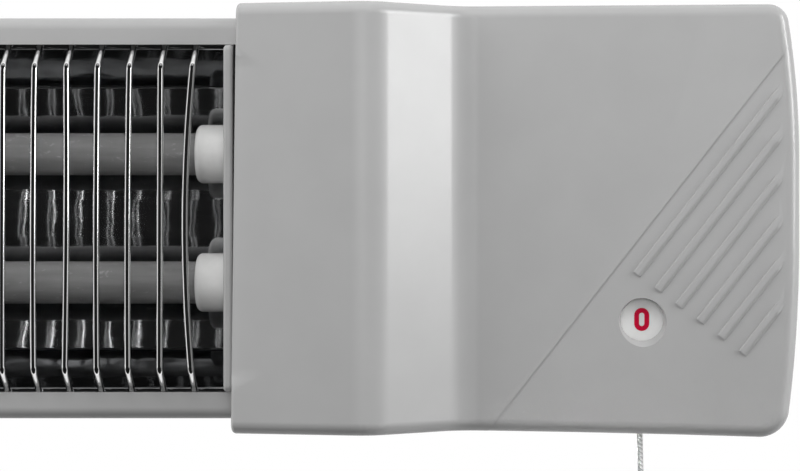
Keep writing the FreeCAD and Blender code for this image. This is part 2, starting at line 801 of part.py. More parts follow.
def bent_strip(points, sheet, half_height):
    """Strip of sheet steel bent along the outer line of its section, (x, y)."""
    line = rounded_path([vec(x, y, -half_height) for x, y in points], sheet + strip_bend)[0]
    band = Part.Face(line.makeOffset2D(sheet, 0, True, True))
    return band.extrude(vec(0, 0, 2 * half_height))


def ear_outline(foot_y, bend_y, foot_half):
    """Side view of an ear, as a prism along X: from its bend to a round end about the pivot."""
    corners = [(foot_y, foot_half), (bend_y, foot_half), (pivot_y, ear_radius),
               (pivot_y, -ear_radius), (bend_y, -foot_half), (foot_y, -foot_half)]
    points = [vec(left_end, y, z) for y, z in corners]
    outline = Part.Face(Part.makePolygon(points + points[:1])).extrude(vec(overall_length, 0, 0))
    return outline.fuse(rod(vec(left_end, pivot_y, 0), vec(1, 0, 0), overall_length, 2 * ear_radius))


def pivot_bore():
    """Clearance for the pivot bolts, all along the heater."""
    return rod(vec(left_end, pivot_y, 0), vec(1, 0, 0), overall_length, pivot_diameter + 2 * running_gap)


def wall_bracket():
    """Steel strip on the wall with an ear bent forward at each end."""
    half = bracket_span / 2
    tip_y = pivot_y - ear_radius
    strip = bent_strip([(-half, tip_y), (-half, 0), (half, 0), (half, tip_y)], bracket_sheet,
                       bracket_height / 2)
    strip = strip.common(ear_outline(0, -bracket_sheet - strip_bend, bracket_height / 2))
    strip = strip.cut(pivot_bore())
    for x in (-screw_spacing / 2, screw_spacing / 2):
        strip = strip.cut(rod(vec(x, 0, 0), vec(0, -1, 0), bracket_sheet, wall_hole_diameter))
    return strip.removeSplitter()


def lug_outer_x():
    """Outer face of a lug's ear, inside the washer."""
    return bracket_span / 2 - bracket_sheet - washer_thickness - running_gap


def pivot_lug(side):
    """Angle piece riveted to the housing's back that hangs on the pivot."""
    outer = lug_outer_x()
    lug = bent_strip([(outer, pivot_y + ear_radius), (outer, housing_back_y),
                      (outer - lug_foot, housing_back_y)], lug_sheet, ear_radius)
    lug = lug.common(ear_outline(housing_back_y, housing_back_y + lug_sheet + strip_bend, ear_radius))
    lug = lug.cut(pivot_bore()).removeSplitter()
    if side < 0:
        lug = lug.mirror(vec(0, 0, 0), vec(1, 0, 0))
    for x, z in rivet_places():
        lug = lug.cut(rod(vec(x, housing_back_y, z), vec(0, 1, 0), lug_sheet,
                          rivet_diameter + thread_gap))
    return lug


def rivet_places():
    """Two rivets one above the other through each lug's foot, (x, z)."""
    x = lug_outer_x() - lug_sheet - (lug_foot - lug_sheet) / 2
    return [(sign * x, z) for sign in (1, -1) for z in (rivet_spacing / 2, -rivet_spacing / 2)]


def lug_rivets():
    rivets = []
    for x, z in rivet_places():
        outside = housing_back_y + lug_sheet
        inside = housing_back_y - housing_sheet
        shank = rod(vec(x, outside, z), vec(0, -1, 0), outside - inside, rivet_diameter)
        head = rod(vec(x, outside, z), vec(0, 1, 0), rivet_head_height, rivet_head)
        tail = rod(vec(x, inside, z), vec(0, -1, 0), rivet_head_height, rivet_head)
        rivets.append(shank.fuse([head, tail]).removeSplitter())
    return rivets


def hexagon(start, axis, height, width):
    """Hexagonal prism across a pivot along X."""
    radius = width / 2 / math.cos(math.pi / 6)
    corners = []
    for number in range(6):
        angle = math.pi / 3 * number
        corners.append(start + vec(0, radius * math.cos(angle), radius * math.sin(angle)))
    return Part.Face(Part.makePolygon(corners + corners[:1])).extrude(axis * height)


def pivot_screws():
    """Pivot bolts with a round head outside the bracket's ears."""
    bolts = []
    grip = bracket_sheet + washer_thickness + running_gap + lug_sheet + nut_height + running_gap
    for sign in (1, -1):
        start = vec(sign * bracket_span / 2, pivot_y, 0)
        inward = vec(-sign, 0, 0)
        head = rod(start, inward * -1, pivot_head_height, pivot_head_diameter)
        rim = [edge for edge in head.Edges
               if edge.Closed and abs(edge.BoundBox.Center.x) > bracket_span / 2 + pivot_head_height / 2]
        head = head.makeFillet(pivot_head_height * head_dome, rim)
        bolts.append(head.fuse(rod(start, inward, grip + thread_end, pivot_diameter)).removeSplitter())
    return bolts


def pivot_nuts():
    """Hexagon nuts inside the lugs' ears."""
    nuts = []
    for sign in (1, -1):
        inward = vec(-sign, 0, 0)
        start = vec(sign * (lug_outer_x() - lug_sheet - running_gap), pivot_y, 0)
        nut = hexagon(start, inward, nut_height, nut_width)
        nuts.append(nut.cut(rod(start, inward, nut_height, pivot_diameter + thread_gap)))
    return nuts


def friction_washers():
    """Washers between each bracket ear and its lug."""
    washers = []
    for sign in (1, -1):
        start = vec(sign * (bracket_span / 2 - bracket_sheet), pivot_y, 0)
        inward = vec(-sign, 0, 0)
        disc = rod(start, inward, washer_thickness, washer_diameter)
        washers.append(disc.cut(rod(start, inward, washer_thickness, pivot_diameter + thread_gap)))
    return washers


# Switch, dial, pull rod and cord


def switch_body():
    """Switch case with two ears, a bore for the dial and a channel for the pull rod."""
    half = switch_width / 2
    case = box(cord_x - half, cord_x + half, -switch_front, -switch_back, switch_bottom, switch_top)
    corners = [edge for edge in case.Edges if edge.BoundBox.YLength > switch_rear]
    case = case.makeFillet(rod_width / 2, corners)
    for x, z in switch_post_places():
        toward = 1 if x < cord_x else -1
        lug = box(x - switch_ear / 2, x + switch_ear / 2, -switch_ear_depth - switch_ear_thickness,
                  -switch_ear_depth, z - switch_ear / 2, z + switch_ear / 2)
        outer_edges = [edge for edge in lug.Edges if edge.BoundBox.YLength > switch_ear_thickness / 2
                       and (edge.BoundBox.Center.x - x) * toward < 0]
        case = case.fuse(lug.makeFillet(switch_ear / 3, outer_edges))
    case = case.removeSplitter()
    for x, z in switch_post_places():
        case = case.cut(rod(vec(x, -switch_ear_depth, z), vec(0, -1, 0), switch_ear_thickness,
                            cover_screw_diameter + thread_gap))
    case = case.cut(rod(vec(window_x, -switch_front, dial_z), vec(0, 1, 0), hub_length,
                        hub_diameter + 2 * running_gap))
    half_channel = rod_width / 2 + fit_gap
    channel_top = spring_top()
    return case.cut(box(cord_x - half_channel, cord_x + half_channel, cord_y - half_channel,
                        cord_y + half_channel, switch_bottom, channel_top))


def spring_top():
    """Upper end of the rod's channel, where the spring hangs."""
    return switch_top - switch_ear_thickness


def return_spring():
    """Envelope of the spring that draws the pull rod back up."""
    start = vec(cord_x, cord_y, rod_low() + rod_length + fit_gap)
    length = spring_top() - start.z
    sleeve = rod(start, vec(0, 0, 1), length, spring_diameter)
    return sleeve.cut(rod(start, vec(0, 0, 1), length, spring_bore))


def rod_low():
    """Lower end of the pull rod at rest, a full pull above the bush."""
    return bush_low_z() + bush_rise() + bush_flange_height + fit_gap + pull_travel


def pull_rod():
    """Square slider that the cord draws down inside the switch."""
    half = rod_width / 2
    return box(cord_x - half, cord_x + half, cord_y - half, cord_y + half,
               rod_low(), rod_low() + rod_length)


def cord_exit():
    """Where the cord leaves the control cover, on the cover's underside."""
    return vec(cord_x, cord_y, bush_low_z() - cord_diameter / 2)


def bush_low_z():
    """Underside of the control cover at the cord."""
    share = (cord_x - control_left - ridge_run) / (control_length - end_bow - ridge_run)
    return -half_cover - low_flare * share * share


def inner_cord():
    """Cord from the pull rod to the bush."""
    top = rod_low()
    low = cord_exit().z + cord_diameter / 2 + fit_gap
    return rod(vec(cord_x, cord_y, low), vec(0, 0, 1), top - low, cord_diameter)


def cord_bush():
    """Flanged bush in the cover's underside with a flared mouth for the cord."""
    rise = bush_rise()
    outline = [(bush_mouth / 2, thread_gap), (bush_diameter / 2, thread_gap), (bush_diameter / 2, rise),
               (bush_flange / 2, rise), (bush_flange / 2, rise + bush_flange_height),
               (bush_bore / 2, rise + bush_flange_height), (bush_bore / 2, cover_wall)]
    return revolve(outline, vec(cord_x, cord_y, bush_low_z()), vec(0, 0, 1), vec(1, 0, 0))


def bush_rise():
    """From the cover's underside to the bush's flange, just inside the wall."""
    return cover_wall + fit_gap


def cord_points():
    return [cord_exit() + vec(x, y, z) for x, y, z in cord_route]


def pull_cord():
    """Hanging cord with a round top where it meets the bush."""
    points = cord_points()
    cord = tube(points, cord_diameter)
    return cord.fuse(Part.makeSphere(cord_diameter / 2, points[0])).removeSplitter()


def pull_knob():
    """Turned bell-shaped knob on the cord's end."""
    top = cord_points()[-1] - vec(0, 0, running_gap)
    neck = knob_neck_diameter / 2
    bell = knob_diameter / 2
    heights = [-share * knob_length for share in knob_shares]
    shoulder = vec(neck, 0, heights[0])
    waist = vec((neck + bell) / 2 - bell / 8, 0, heights[1])
    belly = vec(bell, 0, heights[2])
    turn = vec(bell, 0, heights[3])
    foot = vec(knob_foot * bell, 0, -knob_length)
    edges = [Part.LineSegment(vec(0, 0, 0), vec(neck, 0, 0)).toShape(),
             Part.LineSegment(vec(neck, 0, 0), shoulder).toShape(),
             Part.Arc(shoulder, waist, belly).toShape(),
             Part.Arc(belly, turn, foot).toShape(),
             Part.LineSegment(foot, vec(0, 0, -knob_length)).toShape(),
             Part.LineSegment(vec(0, 0, -knob_length), vec(0, 0, 0)).toShape()]
    knob = Part.Face(Part.Wire(edges)).revolve(vec(0, 0, 0), vec(0, 0, 1), 360)
    knob.translate(top)
    return knob


def indicator_dial():
    """Numbered disc behind the window, on a hub in the switch."""
    centre = vec(window_x, -dial_depth, dial_z)
    disc = rod(centre, vec(0, 1, 0), dial_thickness, 2 * dial_radius)
    hub_start = centre + vec(0, dial_thickness, 0)
    reach = dial_depth - dial_thickness - switch_front + hub_length - fit_gap
    return disc.fuse(rod(hub_start, vec(0, 1, 0), reach, hub_diameter)).removeSplitter()


# Terminals and leads


def switch_tab_places():
    """Flat tabs on the switch's left side, (y, z)."""
    middle = (switch_top + switch_bottom) / 2 + tab_spacing
    y = (-switch_front - switch_back) / 2 + tab_width
    return [(y, middle + tab_spacing / 2), (y, middle - tab_spacing / 2)]


def switch_terminals():
    x = cord_x - switch_width / 2
    return [box(x - tab_length, x, y - tab_width / 2, y + tab_width / 2,
                z - tab_thickness / 2, z + tab_thickness / 2) for y, z in switch_tab_places()]


def block_screw_places():
    return [(block_x + number * block_screw_spacing, block_z) for number in (-1, 0, 1)]


def terminal_block():
    """Three-way block on the back cover."""
    block = box(block_x - block_length / 2, block_x + block_length / 2, housing_back_y - block_height,
                housing_back_y, block_z - block_width / 2, block_z + block_width / 2)
    for x, z in block_screw_places():
        block = block.cut(rod(vec(x, housing_back_y - block_height, z), vec(0, 1, 0),
                              block_screw_recess + block_screw_depth, block_screw_diameter + thread_gap))
    return block


def terminal_screws():
    screws = []
    for x, z in block_screw_places():
        start = vec(x, housing_back_y - block_height + block_screw_recess, z)
        stud = rod(start, vec(0, 1, 0), block_screw_depth, block_screw_diameter)
        slot = box(x - block_screw_diameter, x + block_screw_diameter, start.y, start.y + block_slot_depth,
                   z - tab_thickness / 2, z + tab_thickness / 2)
        screws.append(stud.cut(slot))
    return screws


def cable_gland():
    """Flanged inlet for the supply cable, through the back cover."""
    outline = [(gland_bore / 2, -gland_flange_height), (gland_flange / 2, -gland_flange_height),
               (gland_flange / 2, 0), (gland_body / 2, 0), (gland_body / 2, cover_wall + gland_reach),
               (gland_bore / 2, cover_wall + gland_reach)]
    return revolve(outline, vec(gland_x, back_y, gland_z), vec(0, -1, 0), vec(1, 0, 0))


def return_lead_y():
    """Behind the reflector, in the middle of its gap."""
    return housing_back_y - housing_sheet - reflector_gap / 2


def supply_lead(z, tab):
    """Lead from a right-hand cap's pin to a tab of the switch."""
    start = pin_tip(right_plate_x, 1, z)
    tab_y, tab_z = switch_tab_places()[tab]
    end = vec(cord_x - switch_width / 2 - tab_length, tab_y, tab_z)
    run = (end.x - start.x) / 3
    return tube([start, start + vec(run, 0, 0), end - vec(run, 0, 0), end], lead_diameter)


def left_link_lead():
    """Lead that joins the two tubes' left ends."""
    upper = pin_tip(left_plate_x, -1, tube_z)
    lower = pin_tip(left_plate_x, -1, -tube_z)
    reach = vec(-tube_z / 3, 0, 0)
    return tube([upper, upper + reach, lower + reach, lower], lead_diameter)


def return_lead():
    """Common lead from the left ends, behind the reflector, to the terminal block."""
    link_x = pin_tip(left_plate_x, -1, 0).x - tube_z / 3
    start = vec(link_x, tube_y + lead_diameter / 2 + running_gap, 0)
    gap_y = return_lead_y()
    x_in = left_plate_x - cap_neck_length
    end = vec(block_x - block_length / 2, housing_back_y - block_height / 2, block_z)
    x_out = housing_right
    points = [start, vec(start.x, (start.y + gap_y) / 2, 0), vec(x_in, gap_y, 0),
              vec(x_out, gap_y, 0), vec(end.x - (end.x - x_out) / 3, end.y, end.z), end]
    return tube(points, lead_diameter, lead_diameter * 1.5)


def cover_screws():
    """Screws through the back cover into the posts and the housing."""
    inward = vec(0, -1, 0)
    right = [screw(vec(x, back_y, z), inward, cover_screw_diameter, cover_screw_length)
             for x, z in post_places()]
    short = cover_wall + housing_sheet + screw_head_height
    left = []
    for x, z in housing_screw_places():
        fixing = screw(vec(x, back_y, z), inward, cover_screw_diameter, short)
        if x > 0:
            right.append(fixing)
        else:
            left.append(fixing)
    return right, left


def switch_screws():
    length = switch_ear_thickness + cover_screw_length / 2 - fit_gap
    return [screw(vec(x, -switch_ear_depth, z), vec(0, -1, 0), cover_screw_diameter, length)
            for x, z in switch_post_places()]


def build():
    os.makedirs("parts", exist_ok=True)
    save("wall_bracket", wall_bracket())
    save("pivot_screws", pivot_screws())
    save("pivot_nuts", pivot_nuts())
    save("friction_washers", friction_washers())
    save("rear_housing", rear_housing())
    save("left_pivot_lug", pivot_lug(-1))
    save("right_pivot_lug", pivot_lug(1))
    save("lug_rivets", lug_rivets())
    save("reflector", reflector())
    save("left_tube_plate", tube_plate(left_plate_x))
    save("right_tube_plate", tube_plate(right_plate_x))
    save("guard_wires", guard_wires())
    for row, z in (("upper", tube_z), ("lower", -tube_z)):
        save(row + "_quartz_tube", quartz_tube(z))
        save(row + "_heating_coil", heating_coil(z))
        save(row + "_left_cap", ceramic_cap(left_plate_x, -1, z))
        save(row + "_right_cap", ceramic_cap(right_plate_x, 1, z))
    save("cap_terminals", cap_terminals())
    save("left_end_cover", left_end_cover())
    save("control_cover", control_cover())
    save("control_back_cover", control_back_cover())
    back_screws, end_screws = cover_screws()
    save("back_cover_screws", back_screws)
    save("left_cover_screws", end_screws)
    save("cable_gland", cable_gland())
    save("cord_bush", cord_bush())
    save("switch_body", switch_body())
    save("switch_screws", switch_screws())
    save("switch_terminals", switch_terminals())
    save("return_spring", return_spring())
    save("terminal_block", terminal_block())
    save("terminal_screws", terminal_screws())
    save("upper_lead", supply_lead(tube_z, 0))
    save("lower_lead", supply_lead(-tube_z, 1))
    save("left_link_lead", left_link_lead())
    save("return_lead", return_lead())
    save("pull_rod", pull_rod())
    save("inner_cord", inner_cord())
    save("pull_cord", pull_cord())
    save("pull_knob", pull_knob())
    save("indicator_dial", indicator_dial())
    radii = rounded_path(cord_points())[1]
    print("hanging cord radii, mm:", [round(radius, 1) for radius in radii])


build()
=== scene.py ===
"""Looks of a wall-mounted quartz heater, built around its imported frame.

Metres, in the part's own frame: X runs along the heater, Z is up, the front faces -Y, the wall is y = 0.
"""
import json
import math

import bmesh
import bpy
from mathutils import Matrix, Vector

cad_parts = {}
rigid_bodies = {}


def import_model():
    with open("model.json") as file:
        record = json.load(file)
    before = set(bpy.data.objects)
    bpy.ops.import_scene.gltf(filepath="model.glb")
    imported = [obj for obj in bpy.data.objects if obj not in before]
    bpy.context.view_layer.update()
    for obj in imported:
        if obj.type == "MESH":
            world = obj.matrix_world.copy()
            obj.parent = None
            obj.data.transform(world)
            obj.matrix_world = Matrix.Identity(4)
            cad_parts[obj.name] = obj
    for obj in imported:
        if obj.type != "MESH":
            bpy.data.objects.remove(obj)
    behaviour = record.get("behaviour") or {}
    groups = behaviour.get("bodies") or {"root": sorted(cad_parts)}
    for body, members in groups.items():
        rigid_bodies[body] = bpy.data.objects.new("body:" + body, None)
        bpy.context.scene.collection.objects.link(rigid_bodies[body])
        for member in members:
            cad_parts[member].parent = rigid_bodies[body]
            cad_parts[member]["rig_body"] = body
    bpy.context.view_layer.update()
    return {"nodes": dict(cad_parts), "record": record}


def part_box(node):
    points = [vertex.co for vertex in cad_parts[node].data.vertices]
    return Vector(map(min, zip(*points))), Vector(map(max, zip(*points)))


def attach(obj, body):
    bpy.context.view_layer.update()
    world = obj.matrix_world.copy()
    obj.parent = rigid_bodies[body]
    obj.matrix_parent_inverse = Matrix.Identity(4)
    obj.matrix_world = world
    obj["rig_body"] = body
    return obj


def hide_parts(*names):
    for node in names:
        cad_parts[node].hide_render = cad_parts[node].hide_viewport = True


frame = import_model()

scene = bpy.context.scene
mm = 0.001

# Photograph's camera: straight at the cover, with the frame moved to the heater's right end
photo_width = 800
photo_height = 471
axis_pixel = (540, 218.3)            # where the camera's axis meets the picture
camera_place = (0.1922, -0.894, 0.0)
camera_lens = 112.2
camera_sensor = 36.0

# Hanging cord: where it leaves the cover, and its route below that point
cord_exit = Vector((225.1, -70.0, -70.125)) * mm
cord_route = ((0.0, 0.0, 0.0), (0.7, 0.0, -22.0), (1.2, -0.4, -50.0), (1.1, -0.3, -78.0))
cord_radius = 1.0 * mm
cord_strands = 3                     # coarser than the real yarn, so that they show
cord_lay = 4.2 * mm                  # along the cord for one turn of a strand
cord_groove = 0.33                   # depth between two strands, as a share of the radius
cord_ring_spacing = 0.2 * mm

# Wire guard
wire_count = 30
wire_pitch = 10.15 * mm
wire_last_x = 80.0 * mm
wire_radius = 1.1 * mm
wire_front_y = -91.4 * mm
wire_tuck_y = -82.85 * mm
wire_tuck_z = 60.9 * mm
wire_knee_z = 55.1 * mm
wire_bend_z = 48.6 * mm
wire_bend_radius = 3.5 * mm
wire_bend_steps = 6
wire_span_steps = 16
wire_lean = math.atan(0.5 / 112.8)
wire_wander = math.radians(0.1)      # lean of one wire against the next
wire_bow = 0.35 * mm                 # sideways at half height, either way
last_wire_bow = 2.2 * mm             # the wire beside the control cover is bent more

# Heating coils and the spring of the pull rod
coil_radius = 3.75 * mm
coil_wire_radius = 0.25 * mm
coil_pitch = 1.7 * mm
spring_radius = 2.1 * mm
spring_wire_radius = 0.4 * mm
spring_pitch = 1.0 * mm

# Dial
numeral_radius = 10.0 * mm
numeral_height = 7.4 * mm
numeral_width = 4.8 * mm
numeral_stroke = 1.55 * mm
numeral_steps = 16                   # points along an arc
ink_thickness = 0.04 * mm
dial_step = math.radians(120)        # one pull of the cord

# Cover screws: they go in from the back, into the cover's posts or through the housing's sheet; (x, z) in mm
cover_screw_sizes = (3.2 * mm, 2.2 * mm, 1.5 * mm)      # head radius, head height, shank radius
cover_screw_y = -43.5 * mm                              # under the heads
post_shank = 14.0 * mm
sheet_shank = 5.7 * mm
post_screws = ((119.1, 58.4), (260.6, 58.4), (119.1, -58.4), (260.6, -58.4))
housing_screws = ((102.1, 40.0), (102.1, -40.0))
end_screws = ((-237.0, 40.0), (-237.0, -40.0))

# Pivot screws, through the bracket's ears
pivot_screw_sizes = (5.5 * mm, 4.0 * mm, 3.0 * mm)
pivot_screw_x = 90.0 * mm
pivot_screw_y = -32.0 * mm
pivot_shank = 11.7 * mm

# Screw heads, as shares of their radius or height
head_dome = 0.42
recess_length = 1.15
recess_width = 0.26
recess_depth = 0.45

# Studio
sky_levels = (0.05, 0.3)             # soft light from below and from above
floor_z = -0.45
floor_glow = 0.7                     # share of the floor that is white to the eye
lamps = (                            # name, place, aim, width, height, watts, spread in degrees, reflected
    ("front", (0.1, -1.25, 0.2), (0.0, -0.1, 0.13), 0.5, 0.5, 0.68, 60, False),
    ("high_front", (0.08, -0.7, 0.85), (0.12, -0.1, 0.0), 0.7, 0.5, 3.9, 180, False),
    ("left_key", (-0.6, -0.4, 0.4), (0.15, -0.1, 0.0), 0.45, 0.45, 4.0, 180, False),
    ("right_side", (1.15, -0.22, -0.1), (0.2, -0.1, 0.0), 0.3, 0.5, 1.5, 180, False),
    ("low_left", (-0.4, -0.35, -0.3), (0.22, -0.07, -0.1), 0.03, 0.03, 0.014, 8, False),
    ("back", (0.1, 1.2, -0.1), (0.1, -0.05, -0.05), 1.4, 0.5, 9.0, 180, False),
    ("top", (0.1, -0.3, 1.4), (0.1, -0.1, 0.0), 1.4, 0.8, 1.5, 180, True),
    ("right_softbox", (1.21, -0.42, 0.34), (0.16, -0.1, 0.05), 0.28, 0.72, 6.3, 180, True),
    ("right_panel", (0.95, -0.62, 0.35), (0.16, -0.1, 0.0), 0.35, 0.6, 1.0, 180, True),
)

merge_distance = 1e-6
sharp_angle = math.radians(35)       # edges sharper than this stay crisp


# Small helpers


def linear(hex_colour):
    """An sRGB hex value as a linear colour."""
    channels = [int(hex_colour[place:place + 2], 16) / 255 for place in (1, 3, 5)]
    return [value / 12.92 if value <= 0.04045 else ((value + 0.055) / 1.055) ** 2.4
            for value in channels] + [1.0]


def add(tree, kind, inputs=None, **settings):
    """Add a node; inputs gives each socket a value or another node's output."""
    node = tree.nodes.new(kind)
    for name, value in settings.items():
        setattr(node, name, value)
    for socket, value in (inputs or {}).items():
        if isinstance(value, bpy.types.NodeSocket):
            tree.links.new(value, node.inputs[socket])
        else:
            node.inputs[socket].default_value = value
    return node


def new_material(name, **sockets):
    """A principled material; a value that is the same all over is set on the shader's own socket."""
    material = bpy.data.materials.new(name)
    material.use_nodes = True
    shader = material.node_tree.nodes["Principled BSDF"]
    for socket, value in sockets.items():
        shader.inputs[socket.replace("_", " ").title().replace("Ior", "IOR")].default_value = value
    return material, material.node_tree, shader


def object_place(tree, scale=(1, 1, 1)):
    """Object coordinates, stretched so that a pattern keeps its size in metres."""
    place = add(tree, "ShaderNodeTexCoord")
    return add(tree, "ShaderNodeMapping", {"Vector": place.outputs["Object"], "Scale": scale}).outputs[0]


def mottle(tree, place, size, low, high, detail=3.0):
    """Noise of that grain size, spread between two colours or two levels."""
    noise = add(tree, "ShaderNodeTexNoise", {"Vector": place, "Scale": 1 / size, "Detail": detail})
    ramp = add(tree, "ShaderNodeValToRGB", {"Fac": noise.outputs["Fac"]})
    ramp.color_ramp.elements[0].position = 0.3
    ramp.color_ramp.elements[1].position = 0.7
    ramp.color_ramp.elements[0].color = low
    ramp.color_ramp.elements[1].color = high
    return noise.outputs["Fac"], ramp.outputs["Color"]


def grey_level(value):
    """A plain number as a colour of a ramp."""
    return (value, value, value, 1.0)


def surface(tree, shader, colour, rough=None, height=None, depth=0.0):
    """Give a shader its patterns of colour and roughness, and relief of a real depth."""
    tree.links.new(colour, shader.inputs["Base Color"])
    if rough is not None:
        tree.links.new(rough, shader.inputs["Roughness"])
    if height is not None:
        relief = add(tree, "ShaderNodeBump", {"Height": height, "Distance": depth, "Strength": 1.0})
        tree.links.new(relief.outputs["Normal"], shader.inputs["Normal"])


# Materials


def moulded_abs():
    """Glossy injection-moulded ABS: an even grey with a clear, slightly wavy reflection."""
    material, tree, shader = new_material("glossy_moulded_abs", ior=1.53)
    place = object_place(tree)
    colour = mottle(tree, place, 18 * mm, linear("#a7a7a7"), linear("#aaaaaa"))[1]
    rough = mottle(tree, place, 2.5 * mm, grey_level(0.24), grey_level(0.268))[1]
    wave = add(tree, "ShaderNodeTexNoise", {"Vector": place, "Scale": 1 / (4 * mm), "Detail": 1.0})
    surface(tree, shader, colour, rough, wave.outputs["Fac"], 0.004 * mm)
    return material


def grained_abs():
    """Spark-grained ABS of the back plate: the same grey, matt with a fine leathery grain."""
    material, tree, shader = new_material("grained_abs", ior=1.53)
    place = object_place(tree)
    colour = mottle(tree, place, 10 * mm, linear("#9c9c9c"), linear("#a2a2a2"))[1]
    grain, rough = mottle(tree, place, 0.9 * mm, grey_level(0.48), grey_level(0.6), 4.0)
    surface(tree, shader, colour, rough, grain, 0.05 * mm)
    return material


def baked_enamel():
    """Baked grey enamel on steel sheet: satin, with a faint orange peel."""
    material, tree, shader = new_material("baked_enamel", ior=1.5)
    place = object_place(tree)
    colour = mottle(tree, place, 25 * mm, linear("#a0a0a0"), linear("#a5a5a5"))[1]
    peel, rough = mottle(tree, place, 1.6 * mm, grey_level(0.3), grey_level(0.36))
    surface(tree, shader, colour, rough, peel, 0.01 * mm)
    return material


def bright_aluminium():
    """Bright-rolled aluminium reflector: a mirror that buckles what it shows, with rolling marks along it."""
    material, tree, shader = new_material("bright_rolled_aluminium", metallic=1.0)
    lines = object_place(tree, (0.02, 1, 1))
    clouds = object_place(tree)
    colour = mottle(tree, clouds, 9 * mm, linear("#bebfc1"), linear("#d8d9da"))[1]
    rough = mottle(tree, lines, 0.8 * mm, grey_level(0.04), grey_level(0.09), 5.0)[1]
    buckles = add(tree, "ShaderNodeTexNoise", {"Vector": clouds, "Scale": 1 / (13 * mm), "Detail": 1.5})
    surface(tree, shader, colour, rough, buckles.outputs["Fac"], 0.15 * mm)
    return material


def chrome_plate():
    """Bright chrome on drawn steel wire: hard reflections with faint draw lines."""
    material, tree, shader = new_material("chrome_plate", metallic=1.0)
    lines = object_place(tree, (1, 1, 0.04))
    colour = mottle(tree, lines, 1.5 * mm, linear("#dcdcdc"), linear("#efefef"))[1]
    marks, rough = mottle(tree, lines, 0.5 * mm, grey_level(0.05), grey_level(0.1))
    surface(tree, shader, colour, rough, marks, 0.002 * mm)
    return material


def milky_quartz():
    """Drawn milky quartz: light spreads inside it, so it looks even, with faint pale specks drawn along it."""
    material, tree, shader = new_material("milky_quartz", roughness=0.35, ior=1.46, subsurface_weight=0.8,
                                          subsurface_radius=3 * [6 * mm], subsurface_scale=1.0)
    streaks = object_place(tree, (0.12, 1, 1))
    cloud, colour = mottle(tree, streaks, 3 * mm, linear("#787878"), linear("#888888"), 5.0)
    # faint pale specks, mixed toward #b4b4b4 in the colour, stretched along the tube
    pale_specks = add(tree, "ShaderNodeTexNoise", {"Vector": object_place(tree, (0.5, 1, 1)),
                                               "Scale": 1 / (2.2 * mm), "Detail": 4.0, "Distortion": 1.2})
    share = add(tree, "ShaderNodeMapRange", {"Value": pale_specks.outputs["Fac"], "From Min": 0.62,
                                             "From Max": 0.75, "To Min": 0.0, "To Max": 0.5})
    speckled = add(tree, "ShaderNodeMix", {"Factor": share.outputs[0], 6: colour, 7: linear("#b4b4b4")},
                   data_type="RGBA")
    surface(tree, shader, speckled.outputs[2], height=cloud, depth=0.02 * mm)
    return material


def oxidised_wire():
    """Resistance wire after its first firing: dull brown-grey oxide."""
    material, tree, shader = new_material("oxidised_resistance_wire", metallic=0.7, roughness=0.55)
    colour = mottle(tree, object_place(tree), 4 * mm, linear("#4a423d"), linear("#6b625b"))[1]
    surface(tree, shader, colour)
    return material


def steatite():
    """Unglazed steatite: chalky white with fine pits and a trace of handling."""
    material, tree, shader = new_material("unglazed_steatite", ior=1.6)
    place = object_place(tree)
    colour = mottle(tree, place, 6 * mm, linear("#d4d4d3"), linear("#e0e0df"))[1]
    pits, rough = mottle(tree, place, 0.5 * mm, grey_level(0.5), grey_level(0.65), 4.0)
    surface(tree, shader, colour, rough, pits, 0.03 * mm)
    return material


def zinc_plate():
    """Zinc-plated steel: pale bluish metal, cloudy where the passivation is uneven."""
    material, tree, shader = new_material("zinc_plate", metallic=1.0)
    place = object_place(tree)
    colour = mottle(tree, place, 7 * mm, linear("#a9acad"), linear("#c3c5c4"), 5.0)[1]
    grain, rough = mottle(tree, place, 1.2 * mm, grey_level(0.3), grey_level(0.45), 4.0)
    surface(tree, shader, colour, rough, grain, 0.006 * mm)
    return material


def vulcanised_fibre():
    """Grey vulcanised fibre of the washers: matt and papery."""
    material, tree, shader = new_material("vulcanised_fibre", ior=1.5)
    place = object_place(tree, (1, 3, 1))
    fibres, rough = mottle(tree, place, 1.0 * mm, grey_level(0.7), grey_level(0.85), 5.0)
    colour = mottle(tree, place, 2 * mm, linear("#4f5052"), linear("#66676a"))[1]
    surface(tree, shader, colour, rough, fibres, 0.03 * mm)
    return material


def black_nylon():
    """Black moulded nylon of the switch and gland: low sheen with a fine grain."""
    material, tree, shader = new_material("black_moulded_nylon", ior=1.52)
    place = object_place(tree)
    colour = mottle(tree, place, 8 * mm, linear("#1b1b1c"), linear("#242425"))[1]
    grain, rough = mottle(tree, place, 0.7 * mm, grey_level(0.4), grey_level(0.55))
    surface(tree, shader, colour, rough, grain, 0.02 * mm)
    return material


def brass():
    """Plain brass contacts, slightly tarnished."""
    material, tree, shader = new_material("brass", metallic=1.0)
    place = object_place(tree)
    colour = mottle(tree, place, 3 * mm, linear("#a98a4c"), linear("#c9a967"))[1]
    rough = mottle(tree, place, 1 * mm, grey_level(0.25), grey_level(0.42))[1]
    surface(tree, shader, colour, rough)
    return material


def silicone_sleeve():
    """Silicone rubber insulation of the inner leads: soft white, matt."""
    material, tree, shader = new_material("silicone_sleeve", ior=1.41)
    colour = mottle(tree, object_place(tree), 5 * mm, linear("#c8c6c0"), linear("#d6d4cf"))[1]
    rough = mottle(tree, object_place(tree), 1.5 * mm, grey_level(0.5), grey_level(0.62))[1]
    surface(tree, shader, colour, rough)
    return material


